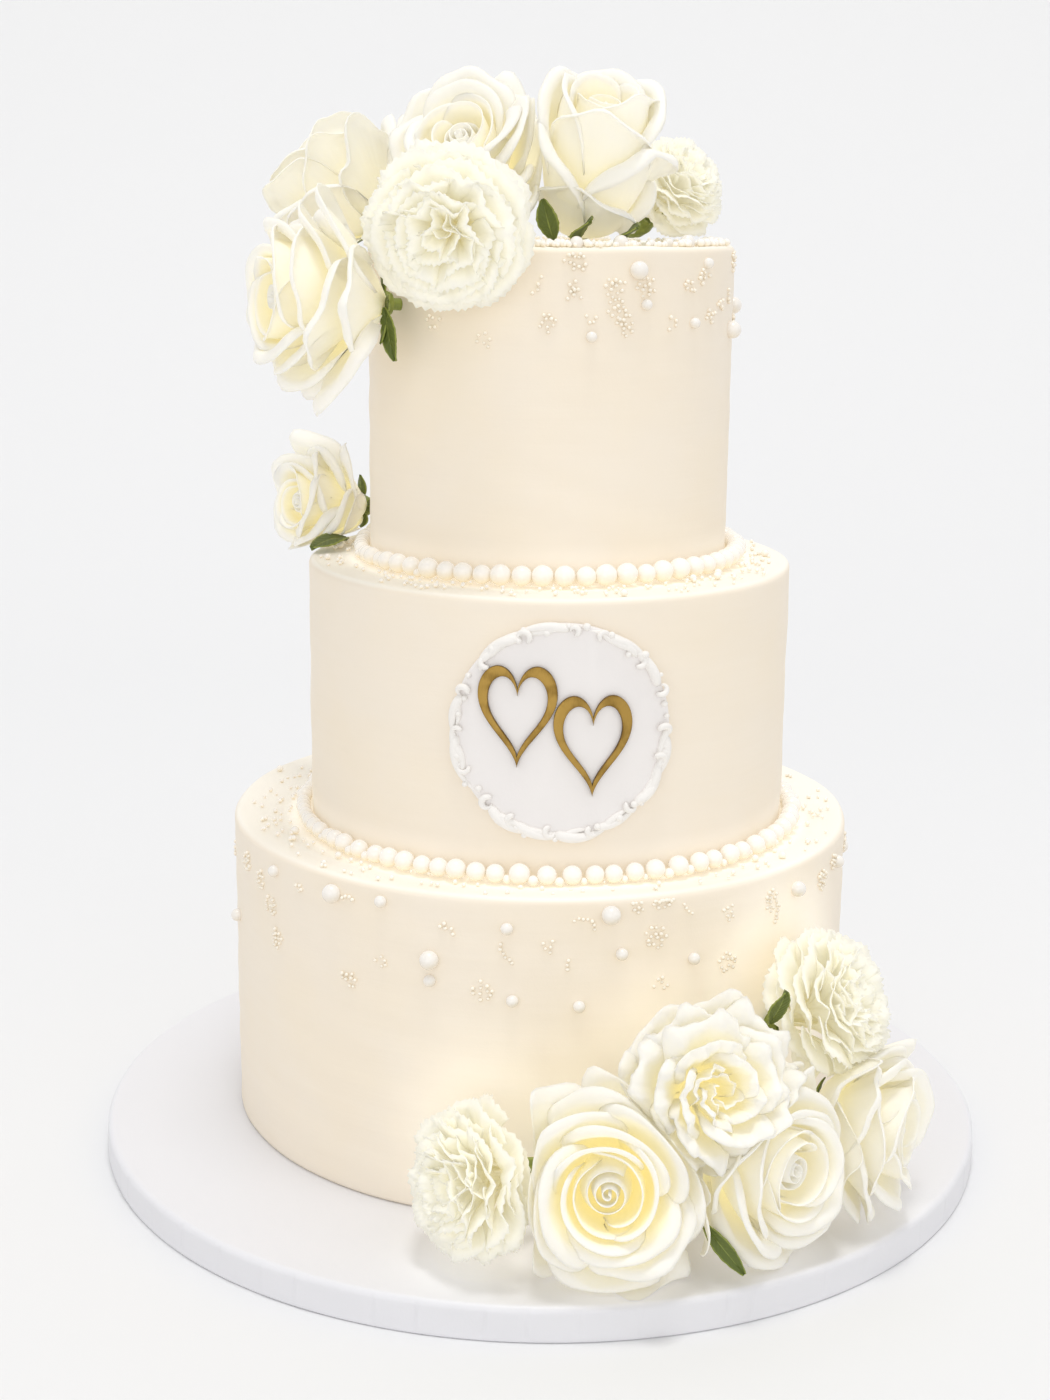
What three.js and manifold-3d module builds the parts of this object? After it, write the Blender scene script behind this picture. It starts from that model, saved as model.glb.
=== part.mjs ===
// Three-tier iced cake on a round board, dressed with sugar pearls, a piped plaque and fresh flowers.
// Millimetres, +Z up. The origin is the centre of the board's underside and the front faces -Y.

import * as THREE from 'three';
import { mergeVertices } from 'three/addons/utils/BufferGeometryUtils.js';
import Module from 'manifold-3d';

const wasm = await Module();
wasm.setup();

// Board and tiers. Each tier has its centre (x, y), its radius, and the height where it ends.
const BOARD = { radius: 177.8, height: 13.4, edge: 2.5 };
const GAP = 0.3;
const RIM = 3;
const ROUND_STEPS = 60;
const BOTTOM = { name: 'tier_bottom', x: -1.6, y: 7.7, radius: 123.5, foot: BOARD.height, top: 136.8 };
const MIDDLE = { name: 'tier_middle', x: 0.9, y: -2.4, radius: 93.8, foot: BOTTOM.top, top: 240.3 };
const TOP = { name: 'tier_top', x: 0.2, y: 0.2, radius: 69.5, foot: MIDDLE.top, top: 360 };

// Borders of pearls round the foot of the two upper tiers.
const LOWER_BORDER = { name: 'pearl_border_lower', tier: MIDDLE, beads: 80, diameter: 6.7 };
const UPPER_BORDER = { name: 'pearl_border_upper', tier: TOP, beads: 60, diameter: 7.0 };
const BEAD_SIDES = 5;
const BEAD_WAIST = 0.5;
// How far the beads' middles lie from the tier's side, as a share of their diameter.
const BEAD_AWAY = 0.56;

// Pearls on a tier's side: degrees to the right of the front, drop below the rim, diameter.
const BOTTOM_PEARLS = [
  [-74, 39, 5], [-53, 7, 4.5], [-37, 7, 7], [-27, 6, 4.5], [-18, 25, 7], [-18, 33, 4.5],
  [-5, 11, 4.5], [-4, 38, 4.5], [7, 40, 4.5], [12, 6, 7], [14, 21, 4.5], [27, 26, 4.5],
  [32, 38, 6], [40, 21, 4.5], [51, 10, 6], [69, 10, 5],
];
const TOP_PEARLS = [
  [-22, 28, 6.5], [-14, 25, 4], [-3, 19, 4], [12, 31, 4], [26, 8, 6.5], [29, 20, 4],
  [48, 27, 4], [54, 6, 4], [75, 31, 6.5],
];
// The same pearls go on round the part that the front view hides.
const HIDDEN_PEARLS = { bottom: 13, top: 9, from: 88, to: 272, shallow: 6, deep: 38 };
// Pearls that lie on top of the upper tier along its front rim: degrees, distance from the rim, diameter.
const RIM_PEARLS = [
  [2, 5, 3.6], [8, 6, 5], [24, 9, 5.6], [34, 6, 3.6], [43, 8, 4], [52, 7, 5.6], [60, 5, 4], [68, 6, 4.6],
];
const PEARL_SUNK = 0.3;
// Room that pearls keep from flowers and leaves.
const PEARL_ROOM = 1.2;

// The round plaque on the middle tier and the two gold hearts on it.
const PLAQUE = { angle: 3.2, height: 193, radius: 35, thickness: 2.2, border: 41.3, borderThickness: 3.6 };
const HEART = { width: 24, height: 33, stroke: 3.4, thin: 1.3, thickness: 1.2 };
const HEARTS = [
  { name: 'gold_heart_left', across: -15.5, up: 5.5 },
  { name: 'gold_heart_right', across: 10.5, up: -5 },
];

// Flowers: kind, centre, the way they face (degrees right of the front, degrees up), radius, half depth.
const FLOWERS = [
  { name: 'rose_top_left', kind: 'rose', at: [-80.5, -58, 340], turn: -68, rise: 3, radius: 32, depth: 26 },
  {
    name: 'carnation_top_front', kind: 'carnation', at: [-35, -75, 366],
    turn: -11, rise: -16, radius: 33.5, depth: 22,
  },
  { name: 'rose_top_back', kind: 'rose', at: [-29, -20, 387.5], turn: -20, rise: 40, radius: 30, depth: 24 },
  { name: 'rose_top_far_left', kind: 'rose', at: [-79, 0, 376], turn: -105, rise: 35, radius: 27.5, depth: 24 },
  { name: 'rose_top_right', kind: 'bud', at: [15, -25, 388.5], turn: 22, rise: 64, radius: 22.5, depth: 28 },
  {
    name: 'carnation_top_right', kind: 'carnation', at: [45, 8, 378.5],
    turn: 45, rise: 40, radius: 22.5, depth: 20,
  },
  { name: 'rose_middle', kind: 'rose', at: [-90, 35, 254], turn: -52, rise: 8, radius: 22.5, depth: 20 },
  {
    name: 'carnation_front_left', kind: 'carnation', at: [-20, -145, 44],
    turn: -52, rise: 6, radius: 31, depth: 23,
  },
  { name: 'rose_front', kind: 'rose', at: [24, -151, 46], turn: -2, rise: 14, radius: 35, depth: 25 },
  { name: 'rose_front_right', kind: 'rose', at: [77.5, -135, 48], turn: 42, rise: 6, radius: 34, depth: 24 },
  { name: 'rose_upper', kind: 'ruffled', at: [58, -138, 75], turn: 18, rise: 22, radius: 29, depth: 26 },
  {
    name: 'carnation_upper_right', kind: 'carnation', at: [102, -90, 87],
    turn: 62, rise: 24, radius: 32.5, depth: 25,
  },
  { name: 'rose_far_right', kind: 'rose', at: [118, -102, 47], turn: 66, rise: 2, radius: 31, depth: 21 },
];

// Leaves: base, tip, width, and the way the upper face looks. Each is a thin wavy blade.
const LEAVES = [
  { name: 'leaf_front', base: [56.5, -157, 35], tip: [71, -160, 17.5], width: 6, face: [-0.3, -1, 0.6] },
  { name: 'leaf_upper', base: [81, -116, 92], tip: [86, -121, 106], width: 8, face: [0.6, -1, 0.2] },
  { name: 'leaf_top_left', base: [-58.5, -57, 338], tip: [-55, -57, 319], width: 6.5, face: [-0.6, -1, 0] },
  { name: 'leaf_top_centre', base: [1, -41, 361.6], tip: [-3, -46, 376], width: 8, face: [-0.3, -1, 0.3] },
  { name: 'leaf_top_mid', base: [10, -36, 361.6], tip: [14, -49, 368.5], width: 11, face: [0, -1, 0.9] },
  { name: 'leaf_top_right', base: [26, -37, 361.6], tip: [31, -50, 366.5], width: 9, face: [0, -1, 0.9] },
  { name: 'leaf_middle', base: [-80, 14, 243], tip: [-92, -6, 242], width: 10, face: [0, -0.3, 1] },
];
const STEM = { radius: 2.2, room: 2.5, longest: 24 };
// Room for a pearl border between a tier and a flower, in pearls.
const BORDER_ROOM = 1.2;
// How far petals reach at most, as shares of radius and half depth, and within how many radii of its
// centre a flower is pressed back by what it leans on.
const PETALS = { wide: 1.14, deep: 1.02, near: 1.3 };
const LEAF = { thickness: 0.9, along: 7, across: 2, wave: 1.0 };

const icing = new THREE.MeshStandardMaterial({ color: 0xf2e8d6, roughness: 0.6, metalness: 0 });
const board = new THREE.MeshStandardMaterial({ color: 0xf1f1f2, roughness: 0.5, metalness: 0 });
const pearl = new THREE.MeshStandardMaterial({ color: 0xfbf3e6, roughness: 0.3, metalness: 0 });
const fondant = new THREE.MeshStandardMaterial({ color: 0xf3f0ee, roughness: 0.55, metalness: 0 });
const piping = new THREE.MeshStandardMaterial({ color: 0xfaf6f2, roughness: 0.5, metalness: 0 });
const gold = new THREE.MeshStandardMaterial({ color: 0xa98a45, roughness: 0.35, metalness: 0.9 });
const petal = new THREE.MeshStandardMaterial({ color: 0xfdf7e2, roughness: 0.65, metalness: 0 });
const leafGreen = new THREE.MeshStandardMaterial({ color: 0x7f8c3c, roughness: 0.5, metalness: 0 });

const cake = new THREE.Group();

// Random numbers from a seed, so that every run gives the same cake.
function seeded(seed) {
  let state = seed >>> 0;
  return () => {
    state = (state * 1664525 + 1013904223) >>> 0;
    return state / 4294967296;
  };
}

// Joins equal vertices and drops triangles that have shrunk to nothing.
function closed(geometry) {
  const bare = geometry.clone();
  bare.deleteAttribute('normal');
  bare.deleteAttribute('uv');
  const merged = mergeVertices(bare, 1e-4);
  const index = merged.getIndex().array;
  const kept = [];
  for (let i = 0; i < index.length; i += 3) {
    const [a, b, c] = [index[i], index[i + 1], index[i + 2]];
    if (a !== b && b !== c && c !== a) kept.push(a, b, c);
  }
  merged.setIndex(kept);
  return merged;
}

function toManifold(geometry) {
  const merged = closed(geometry);
  return new wasm.Manifold(new wasm.Mesh({
    numProp: 3,
    vertProperties: new Float32Array(merged.getAttribute('position').array),
    triVerts: new Uint32Array(merged.getIndex().array),
  }));
}

function fromManifold(solid) {
  const mesh = solid.getMesh();
  const geometry = new THREE.BufferGeometry();
  geometry.setAttribute('position', new THREE.BufferAttribute(mesh.vertProperties, 3));
  geometry.setIndex(new THREE.BufferAttribute(mesh.triVerts, 1));
  return geometry;
}

function add(name, geometry, material) {
  geometry.computeVertexNormals();
  const mesh = new THREE.Mesh(geometry, material);
  mesh.name = name;
  cake.add(mesh);
}

// A mesh from points and triangles, turned so that its faces look outwards.
function shell(points, faces) {
  let volume = 0;
  for (let i = 0; i < faces.length; i += 3) {
    const [a, b, c] = [points[faces[i]], points[faces[i + 1]], points[faces[i + 2]]];
    volume += a.dot(new THREE.Vector3().crossVectors(b, c));
  }
  const geometry = new THREE.BufferGeometry();
  geometry.setFromPoints(points);
  geometry.setIndex(volume > 0 ? faces : faces.slice().reverse());
  return geometry;
}

// A closed skin over a list of rings, each with the same number of points, from one end to the other.
function skin(rings, firstEnd, lastEnd) {
  const count = rings[0].length;
  const points = [firstEnd, ...rings.flat(), lastEnd];
  const faces = [];
  const at = (ring, step) => 1 + ring * count + (step % count);
  for (let step = 0; step < count; step++) {
    faces.push(0, at(0, step + 1), at(0, step));
    for (let ring = 0; ring < rings.length - 1; ring++) {
      const [a, b] = [at(ring, step), at(ring, step + 1)];
      const [c, d] = [at(ring + 1, step), at(ring + 1, step + 1)];
      faces.push(a, b, d, a, d, c);
    }
    faces.push(points.length - 1, at(rings.length - 1, step), at(rings.length - 1, step + 1));
  }
  return shell(points, faces);
}

// A point on or off a tier's side: degrees to the right of the front, distance outwards, height.
function onSide(tier, degrees, outwards, height) {
  const angle = THREE.MathUtils.degToRad(degrees);
  const reach = tier.radius + outwards;
  return new THREE.Vector3(tier.x + reach * Math.sin(angle), tier.y - reach * Math.cos(angle), height);
}

// The direction that a flower faces.
function facing(flower) {
  const turn = THREE.MathUtils.degToRad(flower.turn);
  const rise = THREE.MathUtils.degToRad(flower.rise);
  return new THREE.Vector3(
    Math.sin(turn) * Math.cos(rise),
    -Math.cos(turn) * Math.cos(rise),
    Math.sin(rise),
  );
}

function makeBoard() {
  const profile = [new THREE.Vector2(0, 0)];
  const edge = BOARD.edge;
  profile.push(new THREE.Vector2(BOARD.radius - edge / 2, 0), new THREE.Vector2(BOARD.radius, edge / 2));
  for (let step = 0; step <= 2; step++) {
    const angle = (step / 2) * Math.PI / 2;
    profile.push(new THREE.Vector2(
      BOARD.radius - edge * (1 - Math.cos(angle)),
      BOARD.height - edge * (1 - Math.sin(angle)),
    ));
  }
  profile.push(new THREE.Vector2(0, BOARD.height));
  add('board', closed(upright(new THREE.LatheGeometry(profile, ROUND_STEPS))), board);
}

// Turns a lathe's +Y axis up to +Z.
function upright(geometry) {
  return geometry.rotateX(Math.PI / 2);
}

// True where a pearl would touch a flower, a leaf or the plaque.
function taken(point, radius) {
  const clear = radius + PEARL_ROOM;
  const byFlower = FLOWERS.some((flower) => {
    const size = Math.max(flower.radius * PETALS.wide, flower.depth);
    return point.distanceTo(new THREE.Vector3(...flower.at)) < size + clear;
  });
  const byLeaf = LEAVES.some((leaf) => {
    const line = new THREE.Line3(new THREE.Vector3(...leaf.base), new THREE.Vector3(...leaf.tip));
    const nearest = line.closestPointToPoint(point, true, new THREE.Vector3());
    return nearest.distanceTo(point) < leaf.width / 2 + clear;
  });
  return byFlower || byLeaf;
}

function pearlAt(point, diameter, random) {
  const ball = new THREE.IcosahedronGeometry(diameter / 2, 0);
  ball.rotateX(random() * Math.PI);
  ball.rotateZ(random() * Math.PI);
  ball.translate(point.x, point.y, point.z);
  return toManifold(ball);
}

// Pearls that a tier carries, each a little sunk in its icing.
function pearlsOf(tier) {
  const random = seeded(tier.radius);
  const spots = [];
  const side = (degrees, drop, diameter) => {
    const outwards = diameter * (0.5 - PEARL_SUNK);
    spots.push([onSide(tier, degrees, outwards, tier.top - drop), diameter]);
  };
  const hidden = (count) => {
    for (let i = 0; i < count; i++) {
      const degrees = HIDDEN_PEARLS.from
        + (HIDDEN_PEARLS.to - HIDDEN_PEARLS.from) * (i + 0.2 + 0.6 * random()) / count;
      const drop = HIDDEN_PEARLS.shallow + (HIDDEN_PEARLS.deep - HIDDEN_PEARLS.shallow) * random();
      side(degrees, drop, i % 3 === 0 ? 6.5 : 4.5);
    }
  };
  if (tier === BOTTOM) {
    for (const [degrees, drop, diameter] of BOTTOM_PEARLS) side(degrees, drop, diameter);
    hidden(HIDDEN_PEARLS.bottom);
  }
  if (tier === TOP) {
    for (const [degrees, drop, diameter] of TOP_PEARLS) side(degrees, drop, diameter);
    hidden(HIDDEN_PEARLS.top);
    for (const [degrees, inwards, diameter] of RIM_PEARLS) {
      const height = tier.top + diameter * (0.5 - PEARL_SUNK);
      spots.push([onSide(tier, degrees, -inwards, height), diameter]);
    }
  }
  return spots
    .filter(([point, diameter]) => !taken(point, diameter / 2))
    .map(([point, diameter]) => pearlAt(point, diameter, random));
}

function makeTier(tier) {
  const foot = tier.foot + GAP;
  const profile = [new THREE.Vector2(0, foot), new THREE.Vector2(tier.radius, foot)];
  for (let step = 0; step <= 2; step++) {
    const angle = (step / 2) * Math.PI / 2;
    profile.push(new THREE.Vector2(
      tier.radius - RIM * (1 - Math.cos(angle)),
      tier.top - RIM * (1 - Math.sin(angle)),
    ));
  }
  profile.push(new THREE.Vector2(0, tier.top));
  const body = upright(new THREE.LatheGeometry(profile, ROUND_STEPS)).translate(tier.x, tier.y, 0);
  const solid = pearlsOf(tier).reduce((whole, ball) => whole.add(ball), toManifold(body));
  add(tier.name, fromManifold(solid), icing);
}

// A string of pearls that lies round a tier's foot, on the tier below.
function makeBorder(border) {
  const random = seeded(border.beads);
  const tier = border.tier;
  const seat = tier.foot + GAP;
  const rings = [];
  const sizes = [];
  for (let bead = 0; bead < border.beads; bead++) {
    sizes.push(border.diameter * (0.84 + 0.28 * random()));
  }
  for (let bead = 0; bead < border.beads; bead++) {
    const waist = BEAD_WAIST * Math.min(sizes[bead], sizes[(bead + 1) % border.beads]);
    for (const [share, size] of [[0, sizes[bead]], [0.5, waist]]) {
      const degrees = 360 * (bead + share) / border.beads;
      const middle = BEAD_AWAY * border.diameter;
      rings.push(beadRing(tier, degrees, middle + GAP, seat + sizes[bead] / 2, size / 2));
    }
  }
  add(border.name, loop(rings), pearl);
}

function beadRing(tier, degrees, outwards, height, radius) {
  const ring = [];
  for (let side = 0; side < BEAD_SIDES; side++) {
    const angle = (side + 0.5) / BEAD_SIDES * 2 * Math.PI;
    ring.push(onSide(tier, degrees, outwards + radius * Math.cos(angle), height + radius * Math.sin(angle)));
  }
  return ring;
}

// A closed tube whose last ring joins its first.
function loop(rings) {
  const count = rings[0].length;
  const faces = [];
  const at = (ring, side) => (ring % rings.length) * count + (side % count);
  for (let ring = 0; ring < rings.length; ring++) {
    for (let side = 0; side < count; side++) {
      const [a, b] = [at(ring, side), at(ring, side + 1)];
      const [c, d] = [at(ring + 1, side), at(ring + 1, side + 1)];
      faces.push(a, b, d, a, d, c);
    }
  }
  return shell(rings.flat(), faces);
}

// A point on the plaque: distance right of its centre and above it, and distance off the tier's side.
function onPlaque(across, up, off) {
  const degrees = PLAQUE.angle + THREE.MathUtils.radToDeg(across / MIDDLE.radius);
  return onSide(MIDDLE, degrees, off, PLAQUE.height + up);
}

function roundRing(radius, off, steps) {
  const ring = [];
  for (let step = 0; step < steps; step++) {
    const angle = (step / steps) * 2 * Math.PI;
    ring.push(onPlaque(radius * Math.cos(angle), radius * Math.sin(angle), off));
  }
  return ring;
}

function makePlaque() {
  const steps = 24;
  const face = GAP + PLAQUE.thickness;
  const disc = [
    roundRing(PLAQUE.radius / 3, GAP, steps),
    roundRing(PLAQUE.radius * 2 / 3, GAP, steps),
    roundRing(PLAQUE.radius, GAP, steps),
    roundRing(PLAQUE.radius, face - 0.5, steps),
    roundRing(PLAQUE.radius - 0.8, face, steps),
    roundRing(PLAQUE.radius / 2, face, steps),
  ];
  add('plaque', skin(disc, onPlaque(0, 0, GAP), onPlaque(0, 0, face)), fondant);

  const scrolls = 18;
  const rings = [];
  for (let step = 0; step < scrolls * 2; step++) {
    const angle = (step / scrolls) * Math.PI;
    const swell = step % 2 === 0 ? 0 : 1;
    const inner = PLAQUE.radius + GAP + 0.2 + 0.5 * swell;
    const outer = PLAQUE.border - 1.2 * swell;
    const high = GAP + PLAQUE.borderThickness - 1.0 * swell;
    rings.push([[inner, GAP], [outer, GAP], [outer - 0.8, high], [inner + 1, high]].map(([radius, off]) => (
      onPlaque(radius * Math.cos(angle), radius * Math.sin(angle), off)
    )));
  }
  add('plaque_border', loop(rings), piping);
}

// Half a heart's outline, from the notch at the top to the point: share 0 to 1, side -1 or 1.
function heartPoint(angle, width, height) {
  const x = Math.sin(angle) ** 3;
  const lobes = 13 * Math.cos(angle) - 5 * Math.cos(2 * angle) - 2 * Math.cos(3 * angle);
  const y = (lobes - Math.cos(4 * angle)) / 17;
  return new THREE.Vector2(x * width / 2, (y + 0.15) * height / 1.7);
}

// An open heart drawn with a broad pen: thick on one slant of the stroke and thin on the other.
function makeHeart(heart) {
  const steps = 26;
  const rings = [];
  const back = GAP + PLAQUE.thickness + GAP;
  const front = back + HEART.thickness;
  const middle = [];
  for (let step = 0; step < steps; step++) {
    middle.push(heartPoint((step + 0.5) / steps * 2 * Math.PI, HEART.width, HEART.height));
  }
  for (let step = 0; step < steps; step++) {
    const here = middle[step];
    const along = middle[(step + 1) % steps].clone().sub(middle[(step + steps - 1) % steps]).normalize();
    const out = new THREE.Vector2(-along.y, along.x);
    const pen = HEART.thin + (HEART.stroke - HEART.thin) * Math.abs(along.x * 0.35 + along.y * 0.94);
    const [inner, outer] = [-0.5, 0.5].map((half) => here.clone().addScaledVector(out, half * pen));
    rings.push([[outer, back], [inner, back], [inner, front], [outer, front]].map(([place, off]) => (
      onPlaque(heart.across + place.x, heart.up + place.y, off)
    )));
  }
  add(heart.name, loop(rings), gold);
}

// A petal rim or a hollow of a flower: place along the axis and from it (shares of the half depth and
// the radius), petals round it, how deep they are cut, how far they turn, how far their tips curl back.
const OUTLINES = {
  rose: {
    steps: 15,
    front: 0.5,
    rings: [
      [-0.96, 0.13], [-0.74, 0.2], [-0.56, 0.6, 5, 0.05, 0], [-0.22, 0.88, 5, 0.06, 0],
      [0.06, 1.0, 5, 0.1, 0, 0.14], [0.2, 0.86, 5, 0.06, 0], [0.3, 0.83, 5, 0.06, 0.5],
      [0.5, 0.8, 5, 0.07, 0.5, 0.1], [0.44, 0.64], [0.74, 0.58, 5, 0.06, 0, 0.06],
      [0.6, 0.42], [0.88, 0.34, 3, 0.06, 0], [0.66, 0.2],
    ],
  },
  bud: {
    steps: 15,
    front: 0.72,
    rings: [
      [-0.96, 0.16], [-0.84, 0.36, 5, 0.05, 0], [-0.6, 0.78, 5, 0.06, 0], [-0.25, 0.96, 5, 0.05, 0],
      [0.2, 1.0, 5, 0.08, 0, 0.2], [0.26, 0.86, 5, 0.05, 0.5], [0.5, 0.86, 3, 0.08, 0, 0.1],
      [0.86, 0.74, 3, 0.1, 0, 0.12], [0.7, 0.58], [1.0, 0.46, 3, 0.08, 0.5], [0.8, 0.28],
    ],
  },
  ruffled: {
    steps: 16,
    front: 0.5,
    rings: [
      [-0.96, 0.14], [-0.74, 0.22], [-0.5, 0.66, 4, 0.08, 0], [-0.16, 0.92, 8, 0.06, 0.2],
      [0.12, 1.0, 8, 0.1, 0, 0.2], [0.24, 0.84, 8, 0.06, 0.5], [0.46, 0.86, 8, 0.1, 0.5, 0.16],
      [0.46, 0.66, 4, 0.05, 0], [0.74, 0.64, 8, 0.1, 0.3, 0.12], [0.58, 0.42, 4, 0.1, 0],
      [0.84, 0.36, 4, 0.12, 0.5], [0.6, 0.18],
    ],
  },
  carnation: {
    steps: 18,
    front: 0.5,
    rings: [
      [-0.97, 0.16], [-0.66, 0.2], [-0.4, 0.66, 9, 0.06, 0.3], [-0.12, 0.96, 9, 0.08, 0, 0.1],
      [0.08, 0.86, 9, 0.06, 0.5], [0.22, 0.98, 9, 0.08, 0.5, 0.12], [0.36, 0.78, 9, 0.06, 0],
      [0.58, 0.8, 9, 0.1, 0, 0.14], [0.54, 0.56, 9, 0.08, 0.5], [0.82, 0.5, 9, 0.14, 0.5, 0.12],
      [0.64, 0.28], [0.86, 0.2, 9, 0.2, 0],
    ],
  },
};

// How far a flower's stem has to go, straight back from its centre, to come to what it is stuck into.
function stemLength(flower) {
  const centre = new THREE.Vector3(...flower.at);
  const back = facing(flower).negate();
  let length = flower.depth;
  const free = () => {
    const end = centre.clone().addScaledVector(back, length + STEM.room);
    const inTier = [BOTTOM, MIDDLE, TOP].some((tier) => (
      end.z < tier.top && Math.hypot(end.x - tier.x, end.y - tier.y) < tier.radius
    ));
    return !inTier && end.z > BOARD.height;
  };
  while (free() && length < flower.depth + STEM.longest) length += 0.5;
  return length;
}

// Distance from a flower's centre that none of its petals passes, in a direction given in its own axes.
function reach(flower, direction) {
  const wide = flower.radius * PETALS.wide;
  const deep = flower.depth * PETALS.deep;
  const across = Math.hypot(direction.x, direction.y) / wide;
  return 1 / Math.hypot(across, direction.z / deep);
}

// Flat walls that hold a flower back from what it leans on: a direction and a distance from its centre.
function wallsOf(flower) {
  const centre = new THREE.Vector3(...flower.at);
  const walls = [];
  for (const other of FLOWERS) {
    if (other === flower) continue;
    const towards = new THREE.Vector3(...other.at).sub(centre);
    const apart = towards.length();
    if (apart > (flower.radius + other.radius) * PETALS.near) continue;
    const share = flower.radius / (flower.radius + other.radius);
    walls.push([towards.normalize(), apart * share - GAP / 2]);
  }
  for (const tier of [BOTTOM, MIDDLE, TOP]) {
    // The pearl border at a tier's foot keeps flowers that lie beside it further away.
    const low = tier !== BOTTOM && centre.z < (tier.foot + tier.top) / 2;
    const border = low ? UPPER_BORDER.diameter * BORDER_ROOM : 0;
    const flat = new THREE.Vector2(centre.x - tier.x, centre.y - tier.y);
    const radius = tier.radius + border;
    const inside = Math.min(flat.length(), radius);
    const onFlat = flat.clone().normalize().multiplyScalar(inside);
    const height = THREE.MathUtils.clamp(centre.z, tier.foot, tier.top);
    const nearest = new THREE.Vector3(tier.x + onFlat.x, tier.y + onFlat.y, height);
    const towards = nearest.sub(centre);
    const apart = towards.length();
    if (apart < flower.radius * PETALS.near) walls.push([towards.normalize(), apart - GAP]);
  }
  walls.push([new THREE.Vector3(0, 0, -1), centre.z - BOARD.height - GAP]);
  return walls;
}

function makeFlower(flower, seed) {
  const random = seeded(seed * 977 + 13);
  const outline = OUTLINES[flower.kind];
  const frame = new THREE.Quaternion().setFromUnitVectors(new THREE.Vector3(0, 0, 1), facing(flower));
  const centre = new THREE.Vector3(...flower.at);
  const walls = wallsOf(flower);
  const spin = random() * 2 * Math.PI;

  // Turns a petal point into the cake's axes and presses it back to the nearest wall.
  const place = (x, y, z) => {
    const own = new THREE.Vector3(x, y, z);
    const direction = own.clone().normalize();
    const limit = Math.max(reach(flower, direction), own.length());
    const turned = direction.clone().applyQuaternion(frame);
    let press = 1;
    for (const [wall, room] of walls) {
      const lean = wall.dot(turned);
      if (lean > 1e-3) press = Math.min(press, room / (limit * lean));
    }
    return own.applyQuaternion(frame).multiplyScalar(press).add(centre);
  };

  const rings = outline.rings.map(([along, away, petals = 0, cut = 0, shift = 0, curl = 0]) => {
    const ring = [];
    for (let step = 0; step < outline.steps; step++) {
      const angle = (step / outline.steps) * 2 * Math.PI;
      const wave = petals ? Math.cos(petals * angle + shift * 2 * Math.PI) : 0;
      const uneven = 1 + 0.03 * (random() - 0.5);
      const out = flower.radius * away * (1 + cut * wave) * uneven;
      const up = flower.depth * (along - curl * wave);
      ring.push(place(out * Math.cos(angle + spin), out * Math.sin(angle + spin), up));
    }
    return ring;
  });
  const stem = stemLength(flower);
  if (stem > flower.depth) {
    const foot = [];
    for (let step = 0; step < outline.steps; step++) {
      const angle = (step / outline.steps) * 2 * Math.PI + spin;
      foot.push(place(STEM.radius * Math.cos(angle), STEM.radius * Math.sin(angle), -stem));
    }
    rings.unshift(foot);
  }
  const ends = [place(0, 0, -Math.max(stem, flower.depth)), place(0, 0, flower.depth * outline.front)];
  add(flower.name, skin(rings, ...ends), petal);
}

// A thin blade, pointed at both ends, that curls along its length and waves across it.
function makeLeaf(leaf, seed) {
  const base = new THREE.Vector3(...leaf.base);
  const tip = new THREE.Vector3(...leaf.tip);
  const along = tip.clone().sub(base);
  const length = along.length();
  along.normalize();
  const face = new THREE.Vector3(...leaf.face);
  face.addScaledVector(along, -face.dot(along)).normalize();
  const side = new THREE.Vector3().crossVectors(face, along);
  const point = (s, t, off) => {
    const half = leaf.width / 2 * Math.sin(Math.PI * (0.04 + 0.92 * s)) ** 0.8;
    const lift = 0.06 * length * Math.sin(Math.PI * s)
      + LEAF.wave * Math.abs(t) * (0.5 + 0.5 * Math.sin(7 * s + seed));
    return base.clone()
      .addScaledVector(along, s * length)
      .addScaledVector(side, half * t)
      .addScaledVector(face, lift + off);
  };
  const rings = [];
  for (let step = 1; step < LEAF.along; step++) {
    const s = step / LEAF.along;
    const ring = [];
    for (let across = -LEAF.across / 2; across <= LEAF.across / 2; across++) {
      ring.push(point(s, across * 2 / LEAF.across, LEAF.thickness / 2));
    }
    for (let across = LEAF.across / 2; across >= -LEAF.across / 2; across--) {
      ring.push(point(s, across * 2 / LEAF.across, -LEAF.thickness / 2));
    }
    rings.push(ring);
  }
  add(leaf.name, skin(rings, point(0, 0, 0), point(1, 0, 0)), leafGreen);
}

makeBoard();
[BOTTOM, MIDDLE, TOP].forEach(makeTier);
makeBorder(LOWER_BORDER);
makeBorder(UPPER_BORDER);
makePlaque();
HEARTS.forEach(makeHeart);
FLOWERS.forEach(makeFlower);
LEAVES.forEach(makeLeaf);

export default cake;
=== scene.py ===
"""Three-tier iced cake on a round board, with sugar pearls, a piped plaque and fresh flowers.

Sizes and places on the cake are millimetres in this file; lay_piece turns them into metres.
Properties with a unit, the backdrop, the lights and the camera are in metres. The front of
the cake faces -Y, and angles round a tier are degrees to the right of the front.
"""

import math
from collections import namedtuple

import bmesh
import bpy
import numpy as np
from bpy.props import FloatProperty, FloatVectorProperty, IntProperty, PointerProperty
from mathutils import Matrix


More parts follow.
